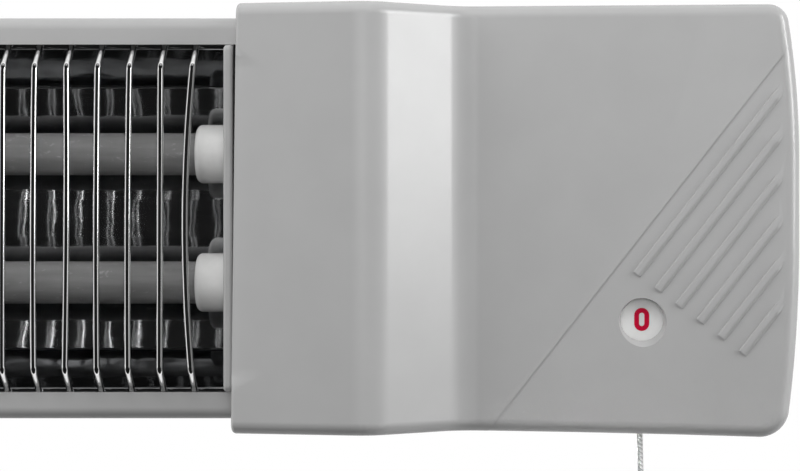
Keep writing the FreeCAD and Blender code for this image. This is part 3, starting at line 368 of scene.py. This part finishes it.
def nylon_yarn():
    """White nylon yarn of the pull cord: bright strands with fine filaments, and shade painted into the grooves
    between them as a darker grey.
    """
    material, tree, shader = new_material("nylon_yarn", roughness=0.6, ior=1.53, subsurface_weight=0.3,
                                          subsurface_radius=3 * [0.3 * mm], subsurface_scale=1.0)
    place = object_place(tree, (1, 1, 0.4))
    fibres, colour = mottle(tree, place, 0.35 * mm, linear("#f2f2f2"), linear("#ffffff"), 2.0)
    # painted shade: the grooves between the strands are coloured #c6c6c6, while the crests keep the yarn's
    # white
    strand = add(tree, "ShaderNodeAttribute", attribute_name="strand")
    lit = add(tree, "ShaderNodeMapRange", {"Value": strand.outputs["Fac"], "From Min": 0.2, "From Max": 0.7})
    shaded = add(tree, "ShaderNodeMix", {"Factor": lit.outputs[0], 6: linear("#c6c6c6"), 7: colour},
                 data_type="RGBA")
    surface(tree, shader, shaded.outputs[2], height=fibres, depth=0.05 * mm)
    return material


def white_abs():
    """White moulded ABS of the dial, bush and knob: slightly warm, satin gloss."""
    material, tree, shader = new_material("white_moulded_abs", ior=1.53, subsurface_weight=0.6,
                                          subsurface_radius=3 * [3 * mm], subsurface_scale=1.0)
    place = object_place(tree)
    colour = mottle(tree, place, 6 * mm, linear("#ebebea"), linear("#f0f0ef"))[1]
    rough = mottle(tree, place, 1.5 * mm, grey_level(0.3), grey_level(0.38))[1]
    surface(tree, shader, colour, rough)
    return material


def red_ink():
    """Pad-printed red ink of the dial's numerals: matt, a little uneven."""
    material, tree, shader = new_material("printed_red_ink", roughness=0.5, specular_ior_level=0.2)
    colour = mottle(tree, object_place(tree), 0.8 * mm, linear("#b4002e"), linear("#c40034"))[1]
    surface(tree, shader, colour)
    return material


finishes = {
    "grey_moulding": moulded_abs(),
    "grey_back_plate": grained_abs(),
    "grey_enamel": baked_enamel(),
    "mirror_sheet": bright_aluminium(),
    "chromed_wire": chrome_plate(),
    "milky_quartz": milky_quartz(),
    "resistance_wire": oxidised_wire(),
    "white_ceramic": steatite(),
    "zinc_steel": zinc_plate(),
    "grey_fibre": vulcanised_fibre(),
    "black_moulding": black_nylon(),
    "brass_contact": brass(),
    "lead_insulation": silicone_sleeve(),
    "white_braid": nylon_yarn(),
    "white_moulding": white_abs(),
}
slot_of = {part["node"]: part["material_slot"] for part in frame["record"]["subparts"]}
dressed = set()                      # nodes that a piece of the scene stands for


# Pieces


def place_piece(mesh, name, body, slot, material=None):
    """Put a mesh in the scene on its body, with the finish of its slot."""
    mesh.materials.clear()
    mesh.materials.append(material or finishes[slot])
    piece = bpy.data.objects.new(name, mesh)
    scene.collection.objects.link(piece)
    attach(piece, body)
    return piece


def stand_for(mesh, name, node):
    """A piece in the place of a node of the frame."""
    piece = place_piece(mesh, name, frame["nodes"][node]["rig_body"], slot_of[node])
    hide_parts(node)
    dressed.add(node)
    return piece


def smooth_copy(node):
    """A node's own surface with shared vertices, shaded smooth except at its real edges."""
    mesh = frame["nodes"][node].data.copy()
    form = bmesh.new()
    form.from_mesh(mesh)
    bmesh.ops.remove_doubles(form, verts=form.verts, dist=merge_distance)
    for face in form.faces:
        face.smooth = True
    form.to_mesh(mesh)
    form.free()
    if "custom_normal" in mesh.attributes:
        mesh.attributes.remove(mesh.attributes["custom_normal"])
    mesh.set_sharp_from_angle(angle=sharp_angle)
    piece = stand_for(mesh, node + "_finish", node)
    weighted = piece.modifiers.new("even_shading", "WEIGHTED_NORMAL")
    weighted.keep_sharp = True
    return piece


def geometry_tree(name, inputs):
    """An empty geometry tree with named inputs; gives the tree, its input node and the identifiers."""
    tree = bpy.data.node_groups.new(name, "GeometryNodeTree")
    tree.interface.new_socket("Geometry", in_out="INPUT", socket_type="NodeSocketGeometry")
    tree.interface.new_socket("Geometry", in_out="OUTPUT", socket_type="NodeSocketGeometry")
    identifiers = {}
    for label, kind in inputs.items():
        identifiers[label] = tree.interface.new_socket(label, in_out="INPUT", socket_type=kind).identifier
    return tree, add(tree, "NodeGroupInput"), identifiers


def end_tree(tree, geometry, material):
    """Close a geometry tree: real geometry with its material."""
    real = add(tree, "GeometryNodeRealizeInstances", {"Geometry": geometry})
    finish = add(tree, "GeometryNodeSetMaterial", {"Geometry": real.outputs["Geometry"], "Material": material})
    add(tree, "NodeGroupOutput", {"Geometry": finish.outputs["Geometry"]})


def grown(data, tree, identifiers, values):
    """Run a geometry tree on a curve or mesh and give the result as a plain mesh."""
    carrier = bpy.data.objects.new("carrier", data)
    scene.collection.objects.link(carrier)
    modifier = carrier.modifiers.new("grow", "NODES")
    modifier.node_group = tree
    for label, value in values.items():
        modifier[identifiers[label]] = value
    carrier.update_tag()
    bpy.context.view_layer.update()
    graph = bpy.context.evaluated_depsgraph_get()
    mesh = bpy.data.meshes.new_from_object(carrier.evaluated_get(graph), depsgraph=graph)
    carrier.modifiers.remove(modifier)
    bpy.data.objects.remove(carrier)
    return mesh


def poly_curve(name, points):
    """A line of straight runs through these points."""
    curve = bpy.data.curves.new(name, "CURVE")
    curve.dimensions = "3D"
    spline = curve.splines.new("POLY")
    spline.points.add(len(points) - 1)
    for point, place in zip(spline.points, points):
        point.co = (*place, 1.0)
    return curve


def guard_tree():
    """The carrier's wire, repeated along the heater, each with its own small lean and sideways bow."""
    tree, given, names = geometry_tree("guard_wires", {
        "Count": "NodeSocketInt", "Pitch": "NodeSocketFloat", "Wire Radius": "NodeSocketFloat",
        "Half Height": "NodeSocketFloat", "Lean": "NodeSocketFloat", "Wander": "NodeSocketFloat",
        "Bow": "NodeSocketFloat", "Last Bow": "NodeSocketFloat", "Last X": "NodeSocketFloat",
        "Material": "NodeSocketMaterial"})
    value = given.outputs
    step = add(tree, "ShaderNodeMath", {0: value["Pitch"], 1: -1.0}, operation="MULTIPLY")
    along = add(tree, "ShaderNodeCombineXYZ", {"X": step.outputs[0]})
    first = add(tree, "ShaderNodeCombineXYZ", {"X": value["Last X"]})
    row = add(tree, "GeometryNodeMeshLine", {"Count": value["Count"], "Start Location": first.outputs[0],
                                             "Offset": along.outputs[0]}, mode="OFFSET")
    left_wander = add(tree, "ShaderNodeMath", {0: value["Wander"], 1: -1.0}, operation="MULTIPLY")
    wander = add(tree, "FunctionNodeRandomValue", {2: left_wander.outputs[0], 3: value["Wander"], "Seed": 4},
                 data_type="FLOAT")
    tilt = add(tree, "ShaderNodeMath", {0: value["Lean"], 1: wander.outputs[1]}, operation="ADD")
    turn = add(tree, "ShaderNodeCombineXYZ", {"Y": tilt.outputs[0]})
    copies = add(tree, "GeometryNodeInstanceOnPoints", {"Points": row.outputs["Mesh"],
                                                        "Instance": value["Geometry"],
                                                        "Rotation": turn.outputs[0]})
    lines = add(tree, "GeometryNodeRealizeInstances", {"Geometry": copies.outputs["Instances"]})
    which = add(tree, "GeometryNodeCurveOfPoint")
    number = which.outputs["Curve Index"]
    left_bow = add(tree, "ShaderNodeMath", {0: value["Bow"], 1: -1.0}, operation="MULTIPLY")
    bow = add(tree, "FunctionNodeRandomValue", {2: left_bow.outputs[0], 3: value["Bow"], "ID": number,
                                                "Seed": 7}, data_type="FLOAT")
    is_last = add(tree, "FunctionNodeCompare", {2: number, 3: 0}, data_type="INT", operation="EQUAL")
    own_bow = add(tree, "GeometryNodeSwitch", {"Switch": is_last.outputs[0], "False": bow.outputs[1],
                                               "True": value["Last Bow"]}, input_type="FLOAT")
    here = add(tree, "GeometryNodeInputPosition")
    parts = add(tree, "ShaderNodeSeparateXYZ", {"Vector": here.outputs[0]})
    height = add(tree, "ShaderNodeMath", {0: parts.outputs["Z"], 1: value["Half Height"]}, operation="DIVIDE")
    square = add(tree, "ShaderNodeMath", {0: height.outputs[0], 1: height.outputs[0]}, operation="MULTIPLY")
    share = add(tree, "ShaderNodeMath", {0: 1.0, 1: square.outputs[0]}, operation="SUBTRACT", use_clamp=True)
    aside = add(tree, "ShaderNodeMath", {0: share.outputs[0], 1: own_bow.outputs[0]}, operation="MULTIPLY")
    shift = add(tree, "ShaderNodeCombineXYZ", {"X": aside.outputs[0]})
    bowed = add(tree, "GeometryNodeSetPosition", {"Geometry": lines.outputs["Geometry"],
                                                  "Offset": shift.outputs[0]})
    ring = add(tree, "GeometryNodeCurvePrimitiveCircle", {"Resolution": 18, "Radius": value["Wire Radius"]})
    wires = add(tree, "GeometryNodeCurveToMesh", {"Curve": bowed.outputs["Geometry"],
                                                  "Profile Curve": ring.outputs["Curve"], "Fill Caps": True})
    smooth = add(tree, "GeometryNodeSetShadeSmooth", {"Geometry": wires.outputs["Mesh"]})
    end_tree(tree, smooth.outputs["Geometry"], value["Material"])
    return tree, names


def rounded_line(corners, radius, steps):
    """Points of a line whose inner corners are arcs of that radius."""
    points = [corners[0]]
    for before, here, after in zip(corners, corners[1:], corners[2:]):
        run_in = (here - before).normalized()
        run_out = (after - here).normalized()
        half_turn = run_in.angle(run_out) / 2
        inward = (run_out - run_in).normalized()
        centre = here + inward * radius / math.cos(half_turn)
        start = (here - run_in * radius * math.tan(half_turn) - centre).normalized()
        stop = (here + run_out * radius * math.tan(half_turn) - centre).normalized()
        points += [centre + start.slerp(stop, step / steps) * radius for step in range(steps + 1)]
    return points + [corners[-1]]


def guard_line():
    """Centre line of one wire, from behind the top rim to behind the bottom rim."""
    upper = [Vector((0, wire_tuck_y, wire_tuck_z)), Vector((0, wire_tuck_y, wire_knee_z)),
             Vector((0, wire_front_y, wire_bend_z))]
    corners = upper + [Vector((x, y, -z)) for x, y, z in reversed(upper)]
    points = rounded_line(corners, wire_bend_radius, wire_bend_steps)
    half = len(points) // 2
    upper_end = points[half - 1]
    lower_end = points[half]
    span = [upper_end.lerp(lower_end, step / wire_span_steps) for step in range(1, wire_span_steps)]
    return points[:half] + span + points[half:]


def guard_wires():
    """Chromed wires, bowed forward of the rims and tucked in behind them."""
    tree, names = guard_tree()
    mesh = grown(poly_curve("guard_wire", guard_line()), tree, names, {
        "Count": wire_count, "Pitch": wire_pitch, "Wire Radius": wire_radius, "Half Height": wire_bend_z,
        "Lean": wire_lean, "Wander": wire_wander, "Bow": wire_bow, "Last Bow": -last_wire_bow,
        "Last X": wire_last_x, "Material": finishes["chromed_wire"]})
    stand_for(mesh, "guard_wires_finish", "guard_wires")


def coil_tree():
    """A wound wire that climbs from its start, laid over by a turn."""
    tree, given, names = geometry_tree("wound_wire", {
        "Turns": "NodeSocketFloat", "Radius": "NodeSocketFloat", "Length": "NodeSocketFloat",
        "Wire Radius": "NodeSocketFloat", "Start": "NodeSocketVector", "Lay Over": "NodeSocketVector",
        "Material": "NodeSocketMaterial"})
    value = given.outputs
    helix = add(tree, "GeometryNodeCurveSpiral", {"Resolution": 12, "Rotations": value["Turns"],
                                                  "Start Radius": value["Radius"],
                                                  "End Radius": value["Radius"], "Height": value["Length"]})
    laid = add(tree, "GeometryNodeTransform", {"Geometry": helix.outputs["Curve"],
                                               "Translation": value["Start"],
                                               "Rotation": value["Lay Over"]})
    ring = add(tree, "GeometryNodeCurvePrimitiveCircle", {"Resolution": 6, "Radius": value["Wire Radius"]})
    wire = add(tree, "GeometryNodeCurveToMesh", {"Curve": laid.outputs["Geometry"],
                                                 "Profile Curve": ring.outputs["Curve"], "Fill Caps": True})
    smooth = add(tree, "GeometryNodeSetShadeSmooth", {"Geometry": wire.outputs["Mesh"]})
    end_tree(tree, smooth.outputs["Geometry"], value["Material"])
    return tree, names


def wound_wire(node, sizes, axis, lay_over, tree, names):
    """Wind a wire through a node's box along X (axis 0) or Z (axis 2); sizes are radius, wire radius, pitch."""
    radius, wire, pitch = sizes
    low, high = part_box(node)
    start = (low + high) / 2
    start[axis] = low[axis] + wire
    length = high[axis] - low[axis] - 2 * wire
    mesh = grown(bpy.data.meshes.new(node), tree, names, {
        "Turns": length / pitch, "Radius": radius, "Length": length, "Wire Radius": wire,
        "Start": tuple(start), "Lay Over": lay_over, "Material": finishes[slot_of[node]]})
    stand_for(mesh, node + "_winding", node)


def wound_wires():
    """The heating wires inside the quartz tubes and the spring that draws the pull rod up."""
    tree, names = coil_tree()
    for node in ("upper_heating_coil", "lower_heating_coil"):
        wound_wire(node, (coil_radius, coil_wire_radius, coil_pitch), 0, (0, math.pi / 2, 0), tree, names)
    wound_wire("return_spring", (spring_radius, spring_wire_radius, spring_pitch), 2, (0, 0, 0), tree, names)


def screw_tree():
    """Pan-head screws with a cross recess, one on each point of the carrier, each left at its own turn."""
    tree, given, names = geometry_tree("cross_head_screws", {
        "Head Radius": "NodeSocketFloat", "Head Height": "NodeSocketFloat", "Dome": "NodeSocketFloat",
        "Shank Radius": "NodeSocketFloat", "Shank Length": "NodeSocketFloat",
        "Recess Length": "NodeSocketFloat", "Recess Width": "NodeSocketFloat",
        "Recess Depth": "NodeSocketFloat", "Facing": "NodeSocketVector", "Material": "NodeSocketMaterial"})
    value = given.outputs
    blank = add(tree, "GeometryNodeMeshCylinder", {"Vertices": 40, "Side Segments": 3, "Fill Segments": 6,
                                                   "Radius": value["Head Radius"],
                                                   "Depth": value["Head Height"]})
    half = add(tree, "ShaderNodeMath", {0: value["Head Height"], 1: 0.5}, operation="MULTIPLY")
    lift = add(tree, "ShaderNodeCombineXYZ", {"Z": half.outputs[0]})
    raised = add(tree, "GeometryNodeSetPosition", {"Geometry": blank.outputs["Mesh"],
                                                   "Offset": lift.outputs[0]})
    here = add(tree, "GeometryNodeInputPosition")
    parts = add(tree, "ShaderNodeSeparateXYZ", {"Vector": here.outputs[0]})
    flat = add(tree, "ShaderNodeCombineXYZ", {"X": parts.outputs["X"], "Y": parts.outputs["Y"]})
    reach = add(tree, "ShaderNodeVectorMath", {0: flat.outputs[0]}, operation="LENGTH")
    share = add(tree, "ShaderNodeMath", {0: reach.outputs["Value"], 1: value["Head Radius"]},
                operation="DIVIDE")
    steep = add(tree, "ShaderNodeMath", {0: share.outputs[0], 1: 4.0}, operation="POWER")
    drop = add(tree, "ShaderNodeMath", {0: steep.outputs[0], 1: value["Dome"]}, operation="MULTIPLY")
    left = add(tree, "ShaderNodeMath", {0: 1.0, 1: drop.outputs[0]}, operation="SUBTRACT")
    squash = add(tree, "ShaderNodeCombineXYZ", {"X": 1.0, "Y": 1.0, "Z": left.outputs[0]})
    domed = add(tree, "ShaderNodeVectorMath", {0: here.outputs[0], 1: squash.outputs[0]}, operation="MULTIPLY")
    head = add(tree, "GeometryNodeSetPosition", {"Geometry": raised.outputs["Geometry"],
                                                 "Position": domed.outputs[0]})
    shank_run = add(tree, "ShaderNodeMath", {0: value["Shank Length"], 1: half.outputs[0]}, operation="ADD")
    shank_low = add(tree, "ShaderNodeMath", {0: half.outputs[0], 1: value["Shank Length"]},
                    operation="SUBTRACT")
    shank_middle = add(tree, "ShaderNodeMath", {0: shank_low.outputs[0], 1: 0.5}, operation="MULTIPLY")
    shank_place = add(tree, "ShaderNodeCombineXYZ", {"Z": shank_middle.outputs[0]})
    rod = add(tree, "GeometryNodeMeshCylinder", {"Vertices": 24, "Radius": value["Shank Radius"],
                                                 "Depth": shank_run.outputs[0]})
    shank = add(tree, "GeometryNodeTransform", {"Geometry": rod.outputs["Mesh"],
                                                "Translation": shank_place.outputs[0]})
    screw = add(tree, "GeometryNodeMeshBoolean", {"Mesh 2": head.outputs["Geometry"]}, operation="UNION")
    tree.links.new(shank.outputs["Geometry"], screw.inputs["Mesh 2"])
    deep = add(tree, "ShaderNodeMath", {0: value["Recess Depth"], 1: 2.0}, operation="MULTIPLY")
    bar_size = add(tree, "ShaderNodeCombineXYZ", {"X": value["Recess Length"], "Y": value["Recess Width"],
                                                  "Z": deep.outputs[0]})
    bar = add(tree, "GeometryNodeMeshCube", {"Size": bar_size.outputs[0]})
    head_top = add(tree, "ShaderNodeCombineXYZ", {"Z": value["Head Height"]})
    driven = add(tree, "GeometryNodeMeshBoolean", {"Mesh 1": screw.outputs["Mesh"]}, operation="DIFFERENCE")
    for quarter in (0.0, math.pi / 2):
        wing = add(tree, "GeometryNodeTransform", {"Geometry": bar.outputs["Mesh"],
                                                   "Translation": head_top.outputs[0],
                                                   "Rotation": (0, 0, quarter)})
        tree.links.new(wing.outputs["Geometry"], driven.inputs["Mesh 2"])
    turn = add(tree, "FunctionNodeRandomValue", {2: 0.0, 3: math.pi / 2, "Seed": 3}, data_type="FLOAT")
    spin = add(tree, "ShaderNodeCombineXYZ", {"Z": turn.outputs[1]})
    spun = add(tree, "FunctionNodeEulerToRotation", {"Euler": spin.outputs[0]})
    aimed = add(tree, "FunctionNodeAlignRotationToVector", {"Rotation": spun.outputs[0],
                                                            "Vector": value["Facing"]}, axis="Z")
    copies = add(tree, "GeometryNodeInstanceOnPoints", {"Points": value["Geometry"],
                                                        "Instance": driven.outputs["Mesh"],
                                                        "Rotation": aimed.outputs[0]})
    end_tree(tree, copies.outputs["Instances"], value["Material"])
    return tree, names


def cross_head_screws(node, sizes, groups, tree, names):
    """The screws of one node, in groups of (points, facing, shank length)."""
    head_radius, head_height, shank_radius = sizes
    form = bmesh.new()
    for points, facing, length in groups:
        holder = bpy.data.meshes.new("screw_points")
        holder.from_pydata(points, [], [])
        form.from_mesh(grown(holder, tree, names, {
            "Head Radius": head_radius, "Head Height": head_height, "Dome": head_dome,
            "Shank Radius": shank_radius, "Shank Length": length, "Recess Length": recess_length * head_radius,
            "Recess Width": recess_width * head_radius, "Recess Depth": recess_depth * head_height,
            "Facing": facing, "Material": finishes[slot_of[node]]}))
    mesh = bpy.data.meshes.new(node)
    form.to_mesh(mesh)
    form.free()
    mesh.shade_smooth()
    mesh.set_sharp_from_angle(angle=sharp_angle)
    stand_for(mesh, node + "_finish", node)


def screws():
    """Cover screws seen from behind and the pivot screws at the bracket's ears."""
    tree, names = screw_tree()
    backward = (0, 1, 0)
    post, housing, end = [[(x * mm, cover_screw_y, z * mm) for x, z in places]
                          for places in (post_screws, housing_screws, end_screws)]
    cross_head_screws("back_cover_screws", cover_screw_sizes,
                      ((post, backward, post_shank), (housing, backward, sheet_shank)), tree, names)
    cross_head_screws("left_cover_screws", cover_screw_sizes, ((end, backward, sheet_shank),), tree, names)
    pivots = [([(side * pivot_screw_x, pivot_screw_y, 0.0)], (side, 0, 0), pivot_shank) for side in (1, -1)]
    cross_head_screws("pivot_screws", pivot_screw_sizes, pivots, tree, names)


def route_curve(name, points):
    """A smooth line with these control points."""
    curve = bpy.data.curves.new(name, "CURVE")
    curve.dimensions = "3D"
    curve.resolution_u = 24
    spline = curve.splines.new("NURBS")
    spline.points.add(len(points) - 1)
    for point, place in zip(spline.points, points):
        point.co = (*place, 1.0)
    spline.order_u = 3
    spline.use_endpoint_u = True
    return curve


def line_points(curve):
    """Points along a curve, as it is drawn."""
    carrier = bpy.data.objects.new("carrier", curve)
    scene.collection.objects.link(carrier)
    graph = bpy.context.evaluated_depsgraph_get()
    mesh = bpy.data.meshes.new_from_object(carrier.evaluated_get(graph), depsgraph=graph)
    points = [vertex.co.copy() for vertex in mesh.vertices]
    bpy.data.objects.remove(carrier)
    return points


def cord_tree():
    """Twisted strands along the carrier's curve."""
    tree, given, names = geometry_tree("twisted_cord", {
        "Radius": "NodeSocketFloat", "Strands": "NodeSocketFloat", "Turns": "NodeSocketFloat",
        "Groove": "NodeSocketFloat", "Rings": "NodeSocketInt", "Material": "NodeSocketMaterial"})
    value = given.outputs
    rings = add(tree, "GeometryNodeResampleCurve", {"Curve": value["Geometry"], "Count": value["Rings"]})
    share = add(tree, "GeometryNodeSplineParameter")
    full_turn = add(tree, "ShaderNodeMath", {0: value["Turns"], 1: 2 * math.pi}, operation="MULTIPLY")
    twist = add(tree, "ShaderNodeMath", {0: share.outputs["Factor"], 1: full_turn.outputs[0]},
                operation="MULTIPLY")
    twisted = add(tree, "GeometryNodeSetCurveTilt", {"Curve": rings.outputs["Curve"],
                                                     "Tilt": twist.outputs[0]})
    circle = add(tree, "GeometryNodeCurvePrimitiveCircle", {"Resolution": 56, "Radius": value["Radius"]})
    around = add(tree, "GeometryNodeSplineParameter")
    lobes = add(tree, "ShaderNodeMath", {0: value["Strands"], 1: math.pi}, operation="MULTIPLY")
    phase = add(tree, "ShaderNodeMath", {0: around.outputs["Factor"], 1: lobes.outputs[0]},
                operation="MULTIPLY")
    wave = add(tree, "ShaderNodeMath", {0: phase.outputs[0]}, operation="SINE")
    crest = add(tree, "ShaderNodeMath", {0: wave.outputs[0]}, operation="ABSOLUTE")
    dip = add(tree, "ShaderNodeMath", {0: crest.outputs[0], 1: -1.0}, operation="ADD")
    depth = add(tree, "ShaderNodeMath", {0: dip.outputs[0], 1: value["Groove"]}, operation="MULTIPLY")
    scale = add(tree, "ShaderNodeMath", {0: depth.outputs[0], 1: 1.0}, operation="ADD")
    here = add(tree, "GeometryNodeInputPosition")
    shaped = add(tree, "ShaderNodeVectorMath", {0: here.outputs[0], 3: scale.outputs[0]}, operation="SCALE")
    strands = add(tree, "GeometryNodeSetPosition", {"Geometry": circle.outputs["Curve"],
                                                    "Position": shaped.outputs[0]})
    # crest height of each profile point, 0 in a groove; the yarn's colour uses it to paint shade into the
    # grooves
    marked = add(tree, "GeometryNodeStoreNamedAttribute", {"Geometry": strands.outputs["Geometry"],
                                                           "Name": "strand", "Value": crest.outputs[0]},
                 data_type="FLOAT", domain="POINT")
    body = add(tree, "GeometryNodeCurveToMesh", {"Curve": twisted.outputs["Curve"],
                                                 "Profile Curve": marked.outputs["Geometry"],
                                                 "Fill Caps": True})
    smooth = add(tree, "GeometryNodeSetShadeSmooth", {"Geometry": body.outputs["Mesh"]})
    end_tree(tree, smooth.outputs["Geometry"], value["Material"])
    return tree, names


def twisted(curve, length, tree, names):
    """Twisted strands along a curve of that length."""
    return grown(curve, tree, names, {
        "Radius": cord_radius, "Strands": float(cord_strands), "Turns": -length / cord_lay,
        "Groove": cord_groove, "Rings": int(length / cord_ring_spacing), "Material": finishes["white_braid"]})


def run_length(points):
    """Length of the run through these points."""
    return sum((after - before).length for before, after in zip(points, points[1:]))


def pull_cord():
    """The hanging cord below the bush and its short length inside the cover."""
    tree, names = cord_tree()
    line = route_curve("hanging_cord_line", [cord_exit + Vector(step) * mm for step in cord_route])
    path = line_points(line)
    length = run_length(path)
    mesh = twisted(line, length, tree, names)
    cord = stand_for(mesh, "hanging_cord", "pull_cord")
    smooth_copy("pull_knob")
    low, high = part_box("inner_cord")
    middle = (low + high) / 2
    inner = [Vector((middle.x, middle.y, high.z)), Vector((middle.x, middle.y, low.z))]
    mesh = twisted(poly_curve("inner_cord_line", inner), high.z - low.z, tree, names)
    stand_for(mesh, "inner_cord_finish", "inner_cord")


def ribbon(form, points, closed):
    """Add a flat stroke of the numeral's width along points in the dial's plane."""
    count = len(points)
    sides = []
    for number, point in enumerate(points):
        before = points[number - 1] if closed or number else point
        after = points[(number + 1) % count] if closed or number < count - 1 else point
        along = (after - before).normalized()
        across = Vector((along.z, 0, -along.x)) * numeral_stroke / 2
        sides.append((form.verts.new(point + across), form.verts.new(point - across)))
    pairs = list(zip(sides, sides[1:]))
    if closed:
        pairs.append((sides[-1], sides[0]))
    for (left, right), (next_left, next_right) in pairs:
        form.faces.new((left, right, next_right, next_left))


def arc_points(centre, radius, begin, end):
    """Points of an arc in the dial's plane; angles in degrees from the right, anticlockwise."""
    points = []
    for step in range(numeral_steps + 1):
        angle = math.radians(begin + (end - begin) * step / numeral_steps)
        points.append(Vector((centre[0] + radius * math.cos(angle), 0, centre[1] + radius * math.sin(angle))))
    return points


def numeral_lines():
    """Centre lines of 0, 1 and 2 about their middles, and whether each one is closed."""
    radius = (numeral_width - numeral_stroke) / 2
    top = (numeral_height - numeral_stroke) / 2
    centre = top - radius
    zero = arc_points((0, centre), radius, 0, 180) + arc_points((0, -centre), radius, 180, 360)
    one = [Vector((-radius, 0, top - radius)), Vector((0, 0, top)), Vector((0, 0, -top))]
    two = arc_points((0, centre), radius, 160, -35)
    two += [Vector((-radius, 0, -top)), Vector((radius + numeral_stroke / 2, 0, -top))]
    return ((zero, True), (one, False), (two, False))


def dial_numerals():
    """Printed 0, 1 and 2 on the dial, the 0 behind the window at rest."""
    low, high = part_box("indicator_dial")
    axis = Vector(((low.x + high.x) / 2, low.y, (low.z + high.z) / 2))
    form = bmesh.new()
    for number, (points, closed) in enumerate(numeral_lines()):
        turn = Matrix.Rotation(number * dial_step, 3, "Y")
        centred = [point - Vector((0, 0, numeral_radius)) for point in points]
        ribbon(form, [axis + turn @ point for point in centred], closed)
    form.normal_update()
    bmesh.ops.solidify(form, geom=form.faces[:], thickness=ink_thickness)
    back = max(vertex.co.y for vertex in form.verts)
    bmesh.ops.translate(form, verts=form.verts[:], vec=(0, axis.y - back, 0))
    bmesh.ops.recalc_face_normals(form, faces=form.faces[:])
    mesh = bpy.data.meshes.new("dial_numerals")
    form.to_mesh(mesh)
    form.free()
    place_piece(mesh, "dial_numerals", frame["nodes"]["indicator_dial"]["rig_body"],
                slot_of["indicator_dial"], red_ink())


# Light, floor and camera


def area_lamp(name, place, aim, width, height, watts, spread, reflected):
    """A soft lamp that the camera doesn't see; one that isn't reflected lights matt surfaces only."""
    lamp = bpy.data.lights.new(name, "AREA")
    lamp.shape = "RECTANGLE"
    lamp.size = width
    lamp.size_y = height
    lamp.energy = watts
    lamp.spread = math.radians(spread)
    holder = bpy.data.objects.new(name, lamp)
    holder.location = place
    holder.rotation_euler = (Vector(aim) - Vector(place)).to_track_quat("-Z", "Y").to_euler()
    holder.visible_camera = False
    holder.visible_glossy = reflected
    scene.collection.objects.link(holder)


def seen_rays(tree):
    """1 for what the eye, a reflection or a clear piece sees, 0 for light on matt surfaces."""
    ray = add(tree, "ShaderNodeLightPath")
    glossy = add(tree, "ShaderNodeMath", {0: ray.outputs["Is Camera Ray"], 1: ray.outputs["Is Glossy Ray"]},
                 operation="MAXIMUM")
    seen = add(tree, "ShaderNodeMath", {0: glossy.outputs[0], 1: ray.outputs["Is Transmission Ray"]},
               operation="MAXIMUM")
    return seen.outputs[0]


def studio_world():
    """White to the eye and in reflections, a soft light from above on matt surfaces."""
    world = bpy.data.worlds.new("studio")
    scene.world = world
    world.use_nodes = True
    tree = world.node_tree
    tree.nodes.clear()
    place = add(tree, "ShaderNodeTexCoord")
    height = add(tree, "ShaderNodeSeparateXYZ", {"Vector": place.outputs["Generated"]})
    level = add(tree, "ShaderNodeMapRange", {"Value": height.outputs["Z"], "From Min": -1.0, "From Max": 1.0,
                                             "To Min": sky_levels[0], "To Max": sky_levels[1]})
    soft = add(tree, "ShaderNodeBackground", {"Color": (1, 1, 1, 1), "Strength": level.outputs[0]})
    white = add(tree, "ShaderNodeBackground", {"Color": (1, 1, 1, 1), "Strength": 1.0})
    mixed = add(tree, "ShaderNodeMixShader", {0: seen_rays(tree), 1: soft.outputs[0], 2: white.outputs[0]})
    add(tree, "ShaderNodeOutputWorld", {"Surface": mixed.outputs[0]})


def staged_sheet(name, outline, half_width, material):
    """A sheet through (y, z) points, as wide as the studio; it belongs to the stage."""
    points = [(side * half_width, y, z) for y, z in outline for side in (-1, 1)]
    faces = [(2 * row, 2 * row + 1, 2 * row + 3, 2 * row + 2) for row in range(len(outline) - 1)]
    mesh = bpy.data.meshes.new(name)
    mesh.from_pydata(points, [], faces)
    mesh.materials.append(material)
    sheet = bpy.data.objects.new(name, mesh)
    scene.collection.objects.link(sheet)
    return sheet


def plain_material(name, hex_colour, roughness):
    """A material of the stage, one colour all over."""
    material, _, shader = new_material(name, roughness=roughness)
    shader.inputs["Base Color"].default_value = linear(hex_colour)
    return material


def pale_floor():
    """Pale studio floor: mostly white to the eye, and the rest keeps the soft shadow."""
    material = plain_material("pale_floor", "#e4e4e4", 0.6)
    tree = material.node_tree
    share = add(tree, "ShaderNodeMath", {0: seen_rays(tree), 1: floor_glow}, operation="MULTIPLY")
    white = add(tree, "ShaderNodeEmission", {"Color": (1, 1, 1, 1), "Strength": 1.0})
    mixed = add(tree, "ShaderNodeMixShader", {0: share.outputs[0], 2: white.outputs[0],
                                              1: tree.nodes["Principled BSDF"].outputs[0]})
    tree.links.new(mixed.outputs[0], tree.nodes["Material Output"].inputs["Surface"])
    return material


def studio():
    """Pale floor, soft lamps, and a dark surround in front that only reflections see."""
    studio_world()
    floor = staged_sheet("floor", [(-4.0, floor_z), (1.7, floor_z)], 3.0, pale_floor())
    floor.visible_glossy = False
    floor.visible_diffuse = False
    outline = [(-0.05, -1.3), (-1.7, -1.3), (-1.7, 1.75), (-0.05, 1.75)]
    surround = staged_sheet("dark_surround", outline, 2.3, plain_material("black_cloth", "#050505", 0.9))
    surround.visible_camera = False
    surround.visible_diffuse = False
    surround.visible_shadow = False
    surround.visible_transmission = False
    for lamp in lamps:
        area_lamp(*lamp)


def camera():
    """The photograph's camera."""
    data = bpy.data.cameras.new("camera")
    data.lens = camera_lens
    data.sensor_width = camera_sensor
    data.shift_x = (photo_width / 2 - axis_pixel[0]) / photo_width
    data.shift_y = (axis_pixel[1] - photo_height / 2) / photo_width
    data.clip_start = 0.01
    holder = bpy.data.objects.new("camera", data)
    holder.location = camera_place
    holder.rotation_euler = (math.pi / 2, 0, 0)
    scene.collection.objects.link(holder)
    scene.camera = holder


scene.view_settings.view_transform = "Standard"
camera()
studio()
pull_cord()
guard_wires()
wound_wires()
screws()
dial_numerals()
for node in frame["nodes"]:
    if node not in dressed:
        smooth_copy(node)
